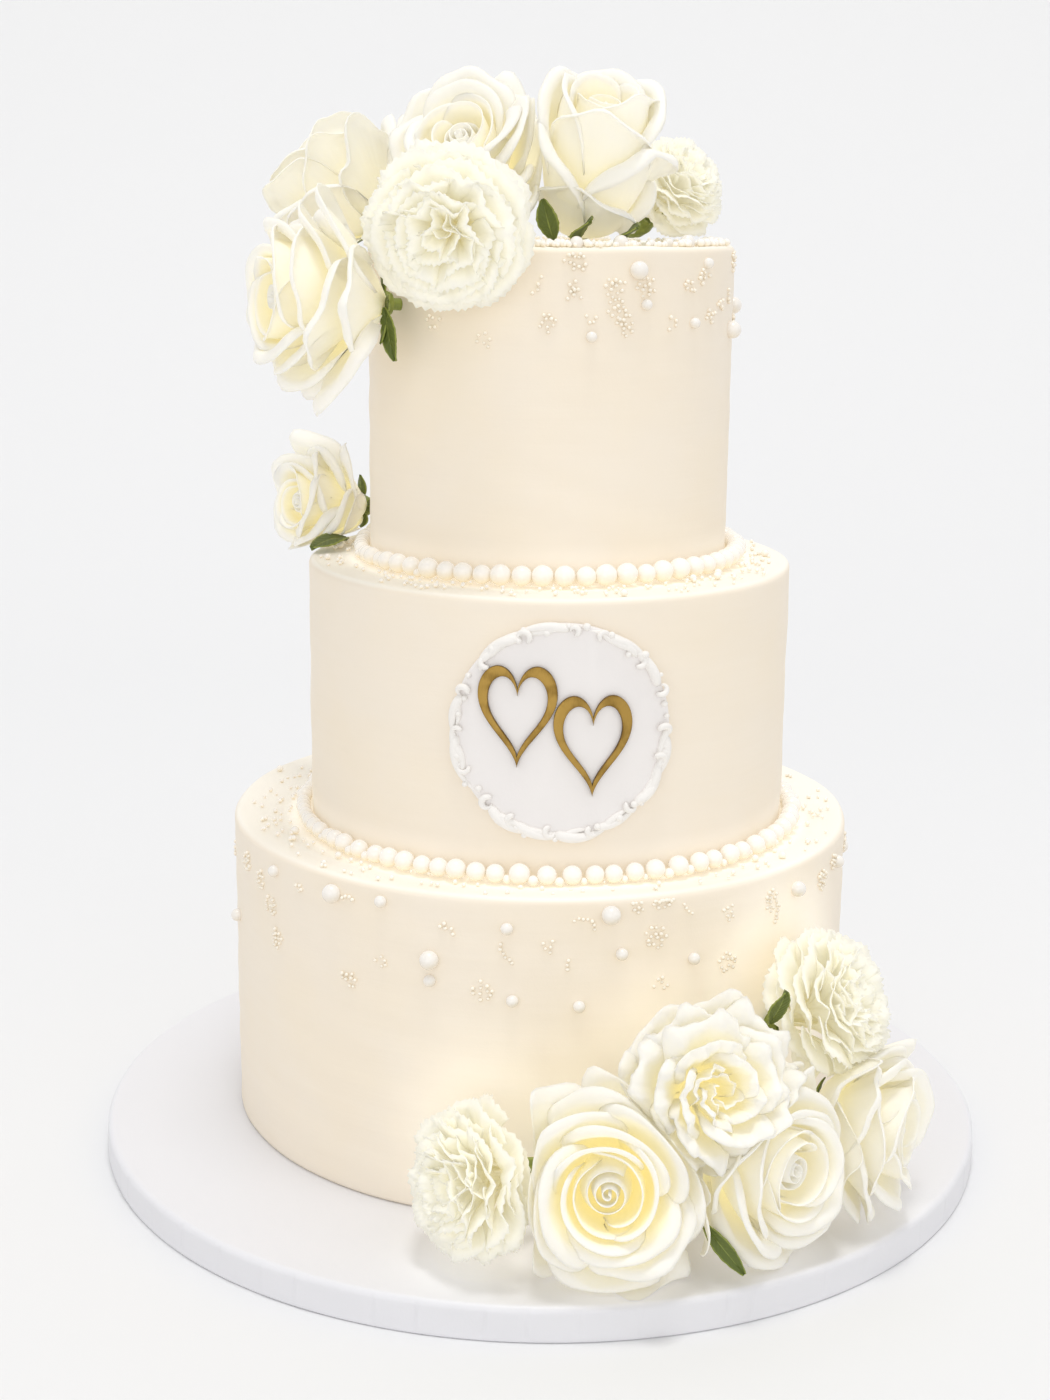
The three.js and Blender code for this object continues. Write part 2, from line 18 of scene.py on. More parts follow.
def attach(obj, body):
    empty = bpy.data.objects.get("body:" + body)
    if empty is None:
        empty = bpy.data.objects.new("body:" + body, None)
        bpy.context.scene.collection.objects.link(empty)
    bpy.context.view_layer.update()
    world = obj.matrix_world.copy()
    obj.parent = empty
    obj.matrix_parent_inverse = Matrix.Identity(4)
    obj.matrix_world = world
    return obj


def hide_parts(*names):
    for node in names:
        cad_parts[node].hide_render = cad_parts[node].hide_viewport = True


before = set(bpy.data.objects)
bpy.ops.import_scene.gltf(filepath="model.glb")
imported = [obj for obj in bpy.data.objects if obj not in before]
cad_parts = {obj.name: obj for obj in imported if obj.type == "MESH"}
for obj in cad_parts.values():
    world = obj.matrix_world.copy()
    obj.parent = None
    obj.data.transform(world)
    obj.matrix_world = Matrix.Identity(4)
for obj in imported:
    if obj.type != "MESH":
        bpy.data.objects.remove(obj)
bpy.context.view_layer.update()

bl_info = {
    "name": "Tiered cake with flowers",
    "version": (1, 0, 0),
    "blender": (4, 5, 0),
    "location": "View3D > Sidebar > Cake",
    "description": "Builds an iced cake with pearls, plaque, roses and carnations on a board",
    "category": "Add Mesh",
}

MM = 0.001
FULL_TURN = 2 * math.pi
GOLDEN_TURN = math.radians(137.508)
# Room between pieces that lie against each other.
GAP = 0.3
# Seeds of the random numbers. Tiers, borders and ledges have their own.
SEEDS = {"board": 31, "clusters": 77, "rim": 404, "piping": 2024, "flowers": 11}
# Points round each body.
STEPS = {"board": 1440, "tier": 300, "plaque": 120, "heart": 150, "hip": 20}
# Random phases and directions are drawn from 0 to this, a full turn rounded down.
ANY_PHASE = 6.28

BOARD = {"radius": 177.8, "height": 13.4, "edge": 2.5}
BOTTOM = {"name": "bottom", "x": -1.6, "y": 7.7, "radius": 123.5, "foot": 13.4, "top": 136.8}
MIDDLE = {"name": "middle", "x": 0.9, "y": -2.4, "radius": 93.8, "foot": 136.8, "top": 240.3}
TOP = {"name": "top", "x": 0.2, "y": 0.2, "radius": 69.5, "foot": 240.3, "top": 360.0}
TIERS = (BOTTOM, MIDDLE, TOP)

LOWER_BORDER = {"name": "lower", "tier": MIDDLE, "seed": 80, "diameter": 6.7, "parted": 0.75}
UPPER_BORDER = {"name": "upper", "tier": TOP, "seed": 60, "diameter": 7.0, "parted": 0.1}
BORDERS = (LOWER_BORDER, UPPER_BORDER)
# Where a border's pearls are smaller, and where small ones part them: degrees from the front.
SMALLER = {"middle": -78, "spread": 30, "less": 0.22}
PARTED = {"from": -14, "to": 70, "behind": 100, "elsewhere": 0.12}
# How far a border's pearls lie from the tier's side, as a share of their diameter.
BEAD_AWAY = 0.56

# Pearls on a tier's side: degrees, drop below the rim, diameter.
BOTTOM_PEARLS = (
    (-74, 39, 5), (-53, 7, 4.5), (-37, 7, 7), (-27, 6, 4.5), (-18, 25, 7), (-18, 33, 4.5),
    (-5, 11, 4.5), (-4, 38, 4.5), (7, 40, 4.5), (12, 6, 7), (14, 21, 4.5), (27, 26, 4.5),
    (32, 38, 6), (40, 21, 4.5), (51, 10, 6), (69, 10, 5),
)
TOP_PEARLS = (
    (-22, 28, 6.5), (-14, 25, 4), (-3, 19, 4), (12, 31, 4), (26, 8, 6.5), (29, 20, 4),
    (48, 27, 4), (54, 6, 4), (75, 31, 6.5),
)
# Pearls on the hidden part of each tier: their number, degrees from the front and drop.
HIDDEN_PEARLS = {"bottom": 13, "top": 9, "from": 88, "to": 272, "shallow": 6, "deep": 38}
# How far a ball's centre stands outside the icing, as a share of its diameter.
PEARL_OUT = 0.2
SIDE_BALL_OUT = 0.28
RIM_BALL_OUT = 0.36
LEDGE_BALL_OUT = 0.38
# Room kept between a larger pearl and the flowers.
PEARL_ROOM = 1.2
# How far the small balls may lie under the petals: on the sides, the ledges and the top's rim.
UNDER_ON_SIDE = 2
UNDER_ON_LEDGE = 6
UNDER_ON_RIM = 9
# The least distance of a nonpareil below a tier's rim.
LEAST_DROP = 2.5
# Pearls on top of the upper tier along its front rim: degrees, distance from the rim, diameter.
RIM_PEARLS = (
    (2, 5, 3.6), (8, 6, 5), (24, 9, 5.6), (34, 6, 3.6), (43, 8, 4), (52, 7, 5.6), (60, 5, 4),
    (68, 6, 4.6),
)
# Small clusters of nonpareils: degrees, drop below the rim.
BOTTOM_CLUSTERS = (
    (-66, 11), (-59, 14), (-55, 22), (-53, 34), (-46, 10), (-35, 8), (-34, 39), (-27, 29),
    (-15, 13), (-9, 35), (-6, 17), (2, 17), (5, 26), (6, 8), (17, 4), (20, 16), (21, 2),
    (21, 34), (25, 5), (34, 11), (34, 30), (44, 11), (46, 14), (61, 13), (67, 9),
)
TOP_CLUSTERS = (
    (-50, 28), (-37, 26), (-20, 33), (-15, 12), (-6, 12), (-1, 27), (6, 14), (7, 5), (7, 17),
    (12, 24), (19, 14), (20, 21), (22, 27), (29, 14), (39, 27), (46, 14), (53, 11), (57, 25),
    (64, 21), (71, 16), (78, 6),
)
# Clusters on the hidden part of each tier: their number, degrees from the front and drop.
HIDDEN_CLUSTERS = {"bottom": 34, "top": 26, "from": 84, "span": 196, "shallow": 4, "deep": 32}
# Balls on each ledge: the tier they lie round, the tier below, their number and seed.
LEDGES = ((MIDDLE, BOTTOM, 240, 5), (TOP, MIDDLE, 200, 6))
# Where those balls start, off the tier's side, and how far inside the ledge's rim they end.
LEDGE_START = 8.5
LEDGE_END = 3.2
# Balls on top of the upper tier, and how many of them lie in front.
RIM_BALLS = {"count": 320, "in_front": 150}

PLAQUE = {"angle": 3.2, "height": 193, "radius": 35, "thickness": 2.2}
HEART = {"width": 24, "height": 33, "stroke": 3.4, "thickness": 1.2}
# The piping: pairs of strokes round the plaque, and how far from its centre each kind lies.
PIPING = {"pairs": 16, "comma": 36.6, "stroke": 38.0, "curl": 37.3, "dot": 35.6}
# The gold hearts: node, and place right of the plaque's centre and above it.
HEARTS = (("gold_heart_left", -15.5, 5.5), ("gold_heart_right", 10.5, -5))

# Flowers: kind, centre, the way they face (degrees right of the front, degrees up),
# radius and half depth.
Flower = namedtuple("Flower", "kind centre turn rise radius depth")
FLOWERS = {
    "rose_top_left": ("rose", (-80.5, -58, 340), -68, 3, 32, 26),
    "carnation_top_front": ("carnation", (-35, -75, 366), -11, -16, 33.5, 22),
    "rose_top_back": ("rose", (-29, -20, 387.5), -20, 40, 30, 24),
    "rose_top_far_left": ("rose", (-79, 0, 376), -105, 35, 27.5, 24),
    "rose_top_right": ("bud", (15, -25, 388.5), 22, 64, 22.5, 28),
    "carnation_top_right": ("carnation", (45, 8, 378.5), 45, 40, 22.5, 20),
    "rose_middle": ("rose", (-90, 35, 254), -52, 8, 22.5, 20),
    "carnation_front_left": ("carnation", (-20, -145, 44), -52, 6, 31, 23),
    "rose_front": ("rose", (24, -151, 46), -2, 14, 35, 25),
    "rose_front_right": ("rose", (77.5, -135, 48), 42, 6, 34, 24),
    "rose_upper": ("ruffled", (58, -138, 75), 18, 22, 29, 26),
    "carnation_upper_right": ("carnation", (102, -90, 87), 62, 24, 32.5, 25),
    "rose_far_right": ("rose", (118, -102, 47), 66, 2, 31, 21),
}
FLOWERS = {name: Flower(*plan) for name, plan in FLOWERS.items()}
# Stems: their radius, the room left before what they are stuck into, and the longest run.
STEM = {"radius": 2.2, "room": 2.5, "longest": 24}
# A flower's petals reach out to this share of its radius.
FLOWER_REACH = 1.12
# Neighbours count as near within this share of their radii.
NEAR = 1.3
# How far the petals of two flowers may reach past the middle between them.
PETAL_OVERLAP = 3.0
# Over how long a stretch petals give way: to each other softly, to icing and board firmly.
SOFT_GIVE = 9.0
FIRM_GIVE = 3.5
# Room that a pearl border keeps between a tier and a flower, in pearls.
BORDER_ROOM = 1.2
# The most painted light, as a glow, that icing and board get from the flowers beside them, that a tier's
# side gets from the border at its foot, and that a ledge gets from the border on it.
MOST_LIGHT = 0.72
SIDE_LIGHT = 0.28
LEDGE_LIGHT = 0.7
# How pale the heart of a flower is, where it isn't as yellow as the others.
PALE_HEARTS = {
    "rose_top_back": 0.5, "rose_top_far_left": 0.4, "rose_top_right": 0.4, "rose_upper": 0.25,
    "rose_front_right": 0.6, "rose_far_right": 0.7, "carnation_top_right": 0.4,
    "carnation_upper_right": 0.35,
}

# Leaves: base, tip, width, the way the upper face looks.
Leaf = namedtuple("Leaf", "base tip width face")
LEAVES = {
    "leaf_front": ((56.5, -157, 35), (71, -160, 17.5), 6, (-0.3, -1, 0.6)),
    "leaf_upper": ((81, -116, 92), (86, -121, 106), 8, (0.6, -1, 0.2)),
    "leaf_top_left": ((-58.5, -57, 338), (-55, -57, 319), 6.5, (-0.6, -1, 0)),
    "leaf_top_centre": ((1, -41, 361.6), (-3, -46, 376), 8, (-0.3, -1, 0.3)),
    "leaf_top_mid": ((10, -36, 361.6), (14, -49, 368.5), 11, (0, -1, 0.9)),
    "leaf_top_right": ((26, -37, 361.6), (31, -50, 366.5), 9, (0, -1, 0.9)),
    "leaf_middle": ((-80, 14, 243), (-92, -6, 242), 10, (0, -0.3, 1)),
}
LEAVES = {name: Leaf(*plan) for name, plan in LEAVES.items()}

# Rings of petals from the heart outwards. Each has: number of petals, rim radius and height as
# shares of the flower's, direction at the rim in degrees above level, rolled lip in millimetres
# and its turn in degrees, half width in degrees, how far the sides fall short, spiral offset
# and waves in millimetres, and how far the middle runs out into a tip.
ROSE_RINGS = {
    "rose": (
        (2, 0.34, 0.78, 100, 1.6, 40, 112, 0.07, 2.4, 0.20, 0.01),
        (3, 0.45, 0.81, 92, 2.6, 62, 86, 0.08, 3.0, 0.30, 0.02),
        (3, 0.56, 0.79, 82, 4.2, 95, 76, 0.12, 2.8, 0.50, 0.03),
        (4, 0.72, 0.62, 70, 4.6, 105, 60, 0.18, 3.2, 0.90, 0.06),
        (4, 0.86, 0.36, 58, 5.4, 105, 56, 0.24, 3.4, 1.40, 0.10),
        (5, 0.98, 0.02, 46, 5.6, 90, 47, 0.34, 2.8, 2.00, 0.20),
    ),
    "bud": (
        (2, 0.26, 0.84, 100, 1.2, 20, 112, 0.05, 1.2, 0.10, 0.00),
        (3, 0.43, 0.92, 98, 2.4, 50, 88, 0.10, 1.8, 0.25, 0.02),
        (3, 0.61, 0.93, 97, 4.0, 90, 82, 0.16, 2.2, 0.40, 0.05),
        (3, 0.79, 0.82, 95, 6.0, 128, 78, 0.24, 2.2, 0.70, 0.08),
        (3, 0.93, 0.34, 88, 8.0, 135, 66, 0.30, 2.0, 0.90, 0.12),
        (2, 0.96, -0.22, 80, 7.0, 110, 70, 0.34, 2.0, 0.90, 0.10),
    ),
    "ruffled": (
        (3, 0.16, 0.62, 96, 2.0, 30, 80, 0.06, 2.0, 0.90, 0.00),
        (4, 0.32, 0.75, 88, 3.0, 60, 62, 0.10, 2.6, 1.90, 0.04),
        (4, 0.50, 0.77, 76, 4.0, 85, 60, 0.14, 3.2, 2.60, 0.06),
        (5, 0.68, 0.63, 64, 4.6, 95, 54, 0.18, 3.4, 2.80, 0.08),
        (6, 0.84, 0.36, 54, 5.0, 95, 48, 0.24, 3.2, 2.80, 0.10),
        (7, 0.96, -0.02, 42, 5.0, 80, 42, 0.30, 2.6, 2.80, 0.14),
    ),
}
# Where the petals start, as a share of the half depth, and how slowly they turn from there.
ROSE_BASE = {"rose": (-0.86, 0.8), "bud": (-0.97, 0.45), "ruffled": (-0.84, 0.8)}
# A petal's middle line is summed in this many steps, and its start found by halving a range.
LINE_STEPS = 24
WIDEST_START = 2.4
HALVINGS = 28
KNOTS = (0.0, 0.2, 0.4, 0.6, 0.8, 1.0)
# How far a flower's sepals reach out, as a share of its radius.
SEPAL_REACH = {"carnation": 0.18, "rose": 0.40, "bud": 0.10, "ruffled": 0.40}
CARNATION_BEND = 1.9
# The radius that the sizes in the carnations' plan are meant for.
CARNATION_RADIUS = 33.5
# The narrow lower part of a carnation's petal, as a share of its length.
CLAW = 0.34
CARNATION_PLAN = {
    "count": 46,
    "rise": (0.74, 0.86, 0.80, 0.56, 0.18, -0.34),
    "radius": (0.08, 0.32, 0.57, 0.80, 0.94, 0.88),
    "lean": (78, 52, 30, 8, -14, -48),
    "width": (8.5, 12, 15.5, 18, 19, 18),
    "ruffle": (1.8, 1.9, 1.8, 1.6, 1.5, 1.4),
}


def seeded(seed):
    """Numbers from 0 to 1 that are the same on every run."""
    state = int(seed) & 0xFFFFFFFF
    while True:
        state = (state * 1664525 + 1013904223) & 0xFFFFFFFF
        yield state / 4294967296


def smooth_step(value, low, high):
    """0 below low, 1 above high, and an even S between them."""
    share = np.clip((value - low) / (high - low), 0, 1)
    return share * share * (3 - 2 * share)


def on_side(tier, degrees, outwards, height):
    """A point on or off a tier's side."""
    angle = np.radians(degrees)
    reach = tier["radius"] + outwards
    across = tier["x"] + reach * np.sin(angle)
    back = tier["y"] - reach * np.cos(angle)
    return np.stack(np.broadcast_arrays(across, back, height), axis=-1).astype(float)


def on_plaque(across, up, off):
    """A point on the plaque: right of its centre, above it, and off the tier's side."""
    degrees = PLAQUE["angle"] + np.degrees(np.asarray(across) / MIDDLE["radius"])
    return on_side(MIDDLE, degrees, off, PLAQUE["height"] + np.asarray(up))


def from_axis(tier, points):
    """How far points lie from a tier's axis."""
    points = np.asarray(points, float)
    return np.hypot(points[..., 0] - tier["x"], points[..., 1] - tier["y"])


def facing(turn, rise):
    """A flower's own axes as rows: right, up and the way it faces."""
    turn, rise = math.radians(turn), math.radians(rise)
    flat = math.cos(rise)
    front = np.array([math.sin(turn) * flat, -math.cos(turn) * flat, math.sin(rise)])
    right = np.array([math.cos(turn), math.sin(turn), 0.0])
    return np.array([right, np.cross(front, right), front])


class Batch:
    """Points, faces and point values of one piece while it is being made."""

    def __init__(self):
        self.points = []
        self.faces = []
        self.marks = {}
        self.count = 0

    def add(self, points, faces, **marks):
        points = np.asarray(points, float).reshape(-1, 3)
        self.points.append(points)
        if isinstance(faces, np.ndarray):
            self.faces.extend((faces + self.count).tolist())
        else:
            self.faces.extend([[corner + self.count for corner in face] for face in faces])
        for name, values in marks.items():
            wide = np.broadcast_to(np.asarray(values, float), (len(points),))
            self.marks.setdefault(name, []).append(wide)
        self.count += len(points)


def lay_piece(name, batch, material, nodes):
    """Makes a batch into a piece that rides with the cake and stands for the given solids."""
    mesh = bpy.data.meshes.new(name)
    mesh.from_pydata(np.concatenate(batch.points) * MM, [], batch.faces)
    for mark, values in batch.marks.items():
        layer = mesh.attributes.new(mark, "FLOAT", "POINT")
        layer.data.foreach_set("value", np.concatenate(values).astype(np.float32))
    mesh.materials.append(material)
    mesh.polygons.foreach_set("use_smooth", [True] * len(mesh.polygons))
    mesh.validate()
    piece = bpy.data.objects.new(name, mesh)
    bpy.context.scene.collection.objects.link(piece)
    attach(piece, "root")
    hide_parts(*nodes)


def grid_faces(rows, columns, closed=False):
    """Four-sided faces over rows x columns points; closed joins the last column to the first."""
    number = np.arange(rows * columns).reshape(rows, columns)
    if closed:
        number = np.concatenate([number, number[:, :1]], axis=1)
    corners = number[:-1, :-1], number[:-1, 1:], number[1:, 1:], number[1:, :-1]
    return np.stack([corner.ravel() for corner in corners], axis=1)


def capped_faces(rings, steps):
    """Faces over closed rings of points, with fans to the two end points that follow them."""
    faces = grid_faces(rings, steps, closed=True).tolist()
    first_end = rings * steps
    last = first_end - steps
    for step in range(steps):
        following = (step + 1) % steps
        faces.append([first_end, following, step])
        faces.append([first_end + 1, last + step, last + following])
    return faces


def upper_edge(radius, top, edge, steps):
    """Profile points round the edge between a side and a top."""
    angles = np.arange(steps + 1) / steps * math.pi / 2
    return list(zip(radius - edge * (1 - np.cos(angles)), top - edge * (1 - np.sin(angles))))


def lower_edge(radius, edge, steps):
    """Profile points round the edge between a bottom at height 0 and a side."""
    angles = np.arange(steps + 1) / steps * math.pi / 2
    return list(zip(radius - edge * (1 - np.sin(angles)), edge * (1 - np.cos(angles))))


def turned_body(profile, steps, warp=None):
    """A closed body from a profile of (radius, height) that starts and ends on the axis."""
    profile = np.asarray(profile, float)
    inner = profile[1:-1]
    angle = np.arange(steps) / steps * FULL_TURN
    radius = np.repeat(inner[:, :1], steps, axis=1)
    height = np.repeat(inner[:, 1:], steps, axis=1)
    around = np.repeat(angle[None, :], len(inner), axis=0)
    if warp:
        radius, height = warp(radius, height, around)
    rings = np.stack([radius * np.sin(around), -radius * np.cos(around), height], axis=-1)
    ends = [[0, 0, profile[0, 1]], [0, 0, profile[-1, 1]]]
    return np.concatenate([rings.reshape(-1, 3), ends]), capped_faces(len(inner), steps)


def thin_body(sheet, thickness):
    """A closed thin body, half its thickness to each side of a grid of points."""
    rows, columns = sheet.shape[:2]
    normal = np.cross(np.gradient(sheet, axis=1), np.gradient(sheet, axis=0))
    normal /= np.maximum(np.linalg.norm(normal, axis=2, keepdims=True), 1e-9)
    offset = normal * np.broadcast_to(thickness, (rows, columns))[..., None] / 2
    points = np.concatenate([(sheet + offset).reshape(-1, 3), (sheet - offset).reshape(-1, 3)])
    upper = grid_faces(rows, columns)
    number = np.arange(rows * columns).reshape(rows, columns)
    rim = np.concatenate([number[0, :-1], number[:-1, -1], number[-1, :0:-1], number[:0:-1, 0]])
    following = np.roll(rim, -1)
    under = rows * columns
    side = np.stack([following, rim, rim + under, following + under], axis=1)
    return points, np.concatenate([upper, upper[:, ::-1] + under, side])


def tube_body(path, radii, sides, normal=None):
    """A closed round tube along a path, with a radius for each point."""
    path = np.asarray(path, float)
    along = np.gradient(path, axis=0)
    along /= np.maximum(np.linalg.norm(along, axis=1, keepdims=True), 1e-9)
    if normal is None:
        helper = np.array([0.0, 0.0, 1.0]) if abs(along[0, 2]) < 0.9 else np.array([1.0, 0.0, 0.0])
        normal = np.broadcast_to(helper, path.shape)
    side = np.cross(along, normal)
    side /= np.maximum(np.linalg.norm(side, axis=1, keepdims=True), 1e-9)
    lift = np.cross(side, along)
    angle = np.arange(sides) / sides * FULL_TURN
    cosine, sine = np.cos(angle)[None, :, None], np.sin(angle)[None, :, None]
    round_part = cosine * side[:, None] + sine * lift[:, None]
    rings = path[:, None] + round_part * np.asarray(radii, float)[:, None, None]
    points = np.concatenate([rings.reshape(-1, 3), path[:1], path[-1:]])
    return points, [face[::-1] for face in capped_faces(len(path), sides)]


def ball_mould(fineness):
    """Points and triangles of a ball of radius 1."""
    ball = bmesh.new()
    bmesh.ops.create_icosphere(ball, subdivisions=fineness, radius=1.0)
    points = np.array([corner.co for corner in ball.verts])
    faces = np.array([[corner.index for corner in face.verts] for face in ball.faces])
    ball.free()
    return points, faces


def lay_balls(name, balls, fineness, material, nodes):
    """Makes a piece of balls, marked by how low each of their points is, for the shade painted on their
    lower sides.
    """
    batch = Batch()
    points, faces = ball_mould(fineness)
    for centre, diameter in balls:
        batch.add(points * diameter / 2 + centre, faces, low=0.5 - 0.5 * points[:, 2])
    lay_piece(name, batch, material, nodes)


def walls_of(name):
    """Planes that hold a flower off its neighbours, the tiers and the board: direction, room, give."""
    centre = np.array(FLOWERS[name].centre, float)
    radius = FLOWERS[name].radius
    walls = []
    for other, plan in FLOWERS.items():
        if other == name:
            continue
        towards = np.array(plan.centre, float) - centre
        apart = np.linalg.norm(towards)
        if apart <= (radius + plan.radius) * NEAR:
            share = radius / (radius + plan.radius)
            walls.append((towards / apart, apart * share + PETAL_OVERLAP, SOFT_GIVE))
    for tier in TIERS:
        by_border = tier is not BOTTOM and centre[2] < (tier["foot"] + tier["top"]) / 2
        reach = tier["radius"] + (UPPER_BORDER["diameter"] * BORDER_ROOM if by_border else 0)
        flat = centre[:2] - (tier["x"], tier["y"])
        away = np.linalg.norm(flat)
        spot = np.array([tier["x"], tier["y"]]) + flat / away * min(away, reach)
        height = min(max(centre[2], tier["foot"]), tier["top"])
        towards = np.array([spot[0], spot[1], height]) - centre
        apart = np.linalg.norm(towards)
        if apart < radius * NEAR:
            walls.append((towards / apart, apart - GAP, FIRM_GIVE))
    walls.append((np.array([0, 0, -1.0]), centre[2] - BOARD["height"] - GAP, FIRM_GIVE))
    return walls


def press(points, walls):
    """Presses points, given from the flower's centre, softly back from the walls round it."""
    for direction, room, give in walls:
        towards = points @ direction
        over = towards - (room - give)
        pressed = room - give * np.exp(-np.maximum(over, 0) / give)
        points = points + np.where(over > 0, pressed - towards, 0)[:, None] * direction
    return points


def middle_line(base, crest, lean, bend):
    """Direction at the base and length of a petal's middle line from its base up to its crest."""
    chord = crest - base
    aim = math.atan2(chord[1], chord[0])
    shares = (np.arange(LINE_STEPS) + 0.5) / LINE_STEPS
    low, high = aim - WIDEST_START, aim + WIDEST_START
    for _ in range(HALVINGS):
        start = (low + high) / 2
        angles = start + (lean - start) * shares**bend
        across, up = np.cos(angles).mean(), np.sin(angles).mean()
        if math.atan2(up, across) < aim:
            low = start
        else:
            high = start
    return start, np.hypot(*chord) / math.hypot(across, up)


class Petal:
    """One petal, worked out from where its rim stands and how its lip rolls."""

    rows = 13
    lip_rows = 5

    def __init__(self, base, crest, lean, lip, curl, fall, tip, bend, side_roll):
        self.base = np.array(base, float)
        self.crest = np.array(crest, float)
        self.lean = math.radians(lean)
        self.lip = lip
        self.curl = math.radians(curl)
        self.fall = fall
        self.tip = tip
        self.bend = bend
        self.side_roll = side_roll

    def run(self, across):
        """Distance from the axis, height and direction over the petal; across is -1 to 1."""
        start, length = middle_line(self.base, self.crest, self.lean, self.bend)
        ends = 1 - self.fall * np.abs(across) ** 2.4 - 0.26 * np.abs(across) ** 9
        ends = ends + self.tip * np.exp(-((across / 0.24) ** 2))
        body = np.linspace(0, 1, self.rows - self.lip_rows)[:, None] * ends[None, :]
        leans = start + (self.lean - start) * body**self.bend
        lip = np.linspace(0, 1, self.lip_rows + 1)[1:, None]
        curl = self.curl * (1 + self.side_roll * across**2)
        lip_leans = leans[-1:] - curl[None, :] * lip
        lip_size = self.lip * (1 + self.side_roll * np.abs(across)) * (1 - 0.8 * np.abs(across) ** 7)
        lip_step = lip_size / self.lip_rows
        steps = np.concatenate([
            np.diff(body, axis=0) * length, np.repeat(lip_step[None, :], self.lip_rows, axis=0),
        ])
        leans = np.concatenate([leans, lip_leans])
        middle = (leans[1:] + leans[:-1]) / 2
        foot = np.zeros((1, len(across)))
        away = np.concatenate([foot, np.cumsum(steps * np.cos(middle), axis=0)])
        up = np.concatenate([foot, np.cumsum(steps * np.sin(middle), axis=0)])
        return self.base[0] + away, self.base[1] + up, leans


def paler(name, outer):
    """How far out a petal counts for its colour, shifted for the flowers with a pale heart."""
    pale = PALE_HEARTS.get(name, 0.0)
    return pale + (1 - pale) * outer


def placed(name, points):
    """Points from a flower's own axes in their place on the cake, pressed off what is near."""
    flower = FLOWERS[name]
    turned = points @ facing(flower.turn, flower.rise)
    return press(turned, walls_of(name)) + np.array(flower.centre)


def both_sides(values, shape):
    """Values over a sheet for each point of the thin body made from it."""
    return np.tile(np.broadcast_to(values, shape).ravel(), 2)


def sheet_at(angle, away, aside, up):
    """A sheet in a flower's own axes, from its run outwards, sideways and up at an angle."""
    outward = np.array([math.cos(angle), math.sin(angle), 0])
    sidewards = np.array([-math.sin(angle), math.cos(angle), 0])
    level = away[..., None] * outward + aside[..., None] * sidewards
    return level + up[..., None] * np.array([0, 0, 1.0])


def add_petal(batch, name, sheet, thickness, reach, across, outer):
    """A petal from a sheet in the flower's own axes, with the marks that colour it."""
    points, faces = thin_body(sheet, thickness)
    shape = sheet.shape[:2]
    batch.add(
        placed(name, points), faces, ripe=both_sides(reach, shape), outer=paler(name, outer),
        across=both_sides(across, shape),
    )


def rose_petals(batch, name, seed):
    """Petals of a rose, from the closed ones round its heart out to the open ones."""
    flower = FLOWERS[name]
    radius, depth = flower.radius, flower.depth
    draw = seeded(seed)
    # The first numbers of seeds that follow each other lie close together, so they are passed over.
    for _ in range(5):
        next(draw)
    across = np.linspace(-1, 1, 23)
    rings = ROSE_RINGS[flower.kind]
    seat, bend = ROSE_BASE[flower.kind]
    spin = next(draw) * FULL_TURN
    for order, ring in enumerate(rings):
        count, away_share, rise_share, lean, lip, curl, half, fall, skew, waviness, tip = ring
        outer = order / (len(rings) - 1)
        spin += math.pi / count + 0.6 * (next(draw) - 0.5)
        for number in range(count):
            azimuth = spin + (number + 0.22 * (next(draw) - 0.5)) / count * FULL_TURN
            uneven = 1 + (0.05 + 0.09 * outer) * (next(draw) - 0.5)
            crest = (radius * away_share * uneven, depth * rise_share + 3.2 * (next(draw) - 0.5))
            base = (1.2 + 1.6 * outer, depth * (seat + 0.1 * (1 - outer)))
            petal = Petal(
                base, crest, lean + 9 * (next(draw) - 0.5), lip * (0.75 + 0.5 * next(draw)),
                curl * (0.8 + 0.4 * next(draw)), fall, tip * (0.4 + 1.2 * next(draw)), bend,
                0.3 + 0.5 * next(draw),
            )
            away, up, leans = petal.run(across)
            reach = np.linspace(0, 1, petal.rows)[:, None]
            width = 0.66 + 0.34 * np.sin(np.minimum(reach / 0.6, 1) * math.pi / 2)
            turned = azimuth + math.radians(half) * (0.92 + 0.16 * next(draw)) * across * width
            phase = next(draw) * ANY_PHASE
            waves = (1.2 + 1.0 * next(draw)) * (1.6 if flower.kind == "ruffled" else 1.0)
            ramp = (next(draw) - 0.4) * 4.0 * outer**0.5
            wave = waviness * reach**2.2 * (
                np.sin(waves * math.pi * across + phase)
                + 0.45 * np.sin(2.3 * waves * math.pi * across + 2 * phase)
            )
            away = away + skew * across * reach**0.5 + wave * np.sin(leans)
            up = up - wave * np.cos(leans) + ramp * across * reach
            away = np.maximum(away, 0.25)
            sheet = np.stack([away * np.cos(turned), away * np.sin(turned), up], axis=-1)
            add_petal(batch, name, sheet, 0.55 - 0.2 * reach**2, reach, across, outer)


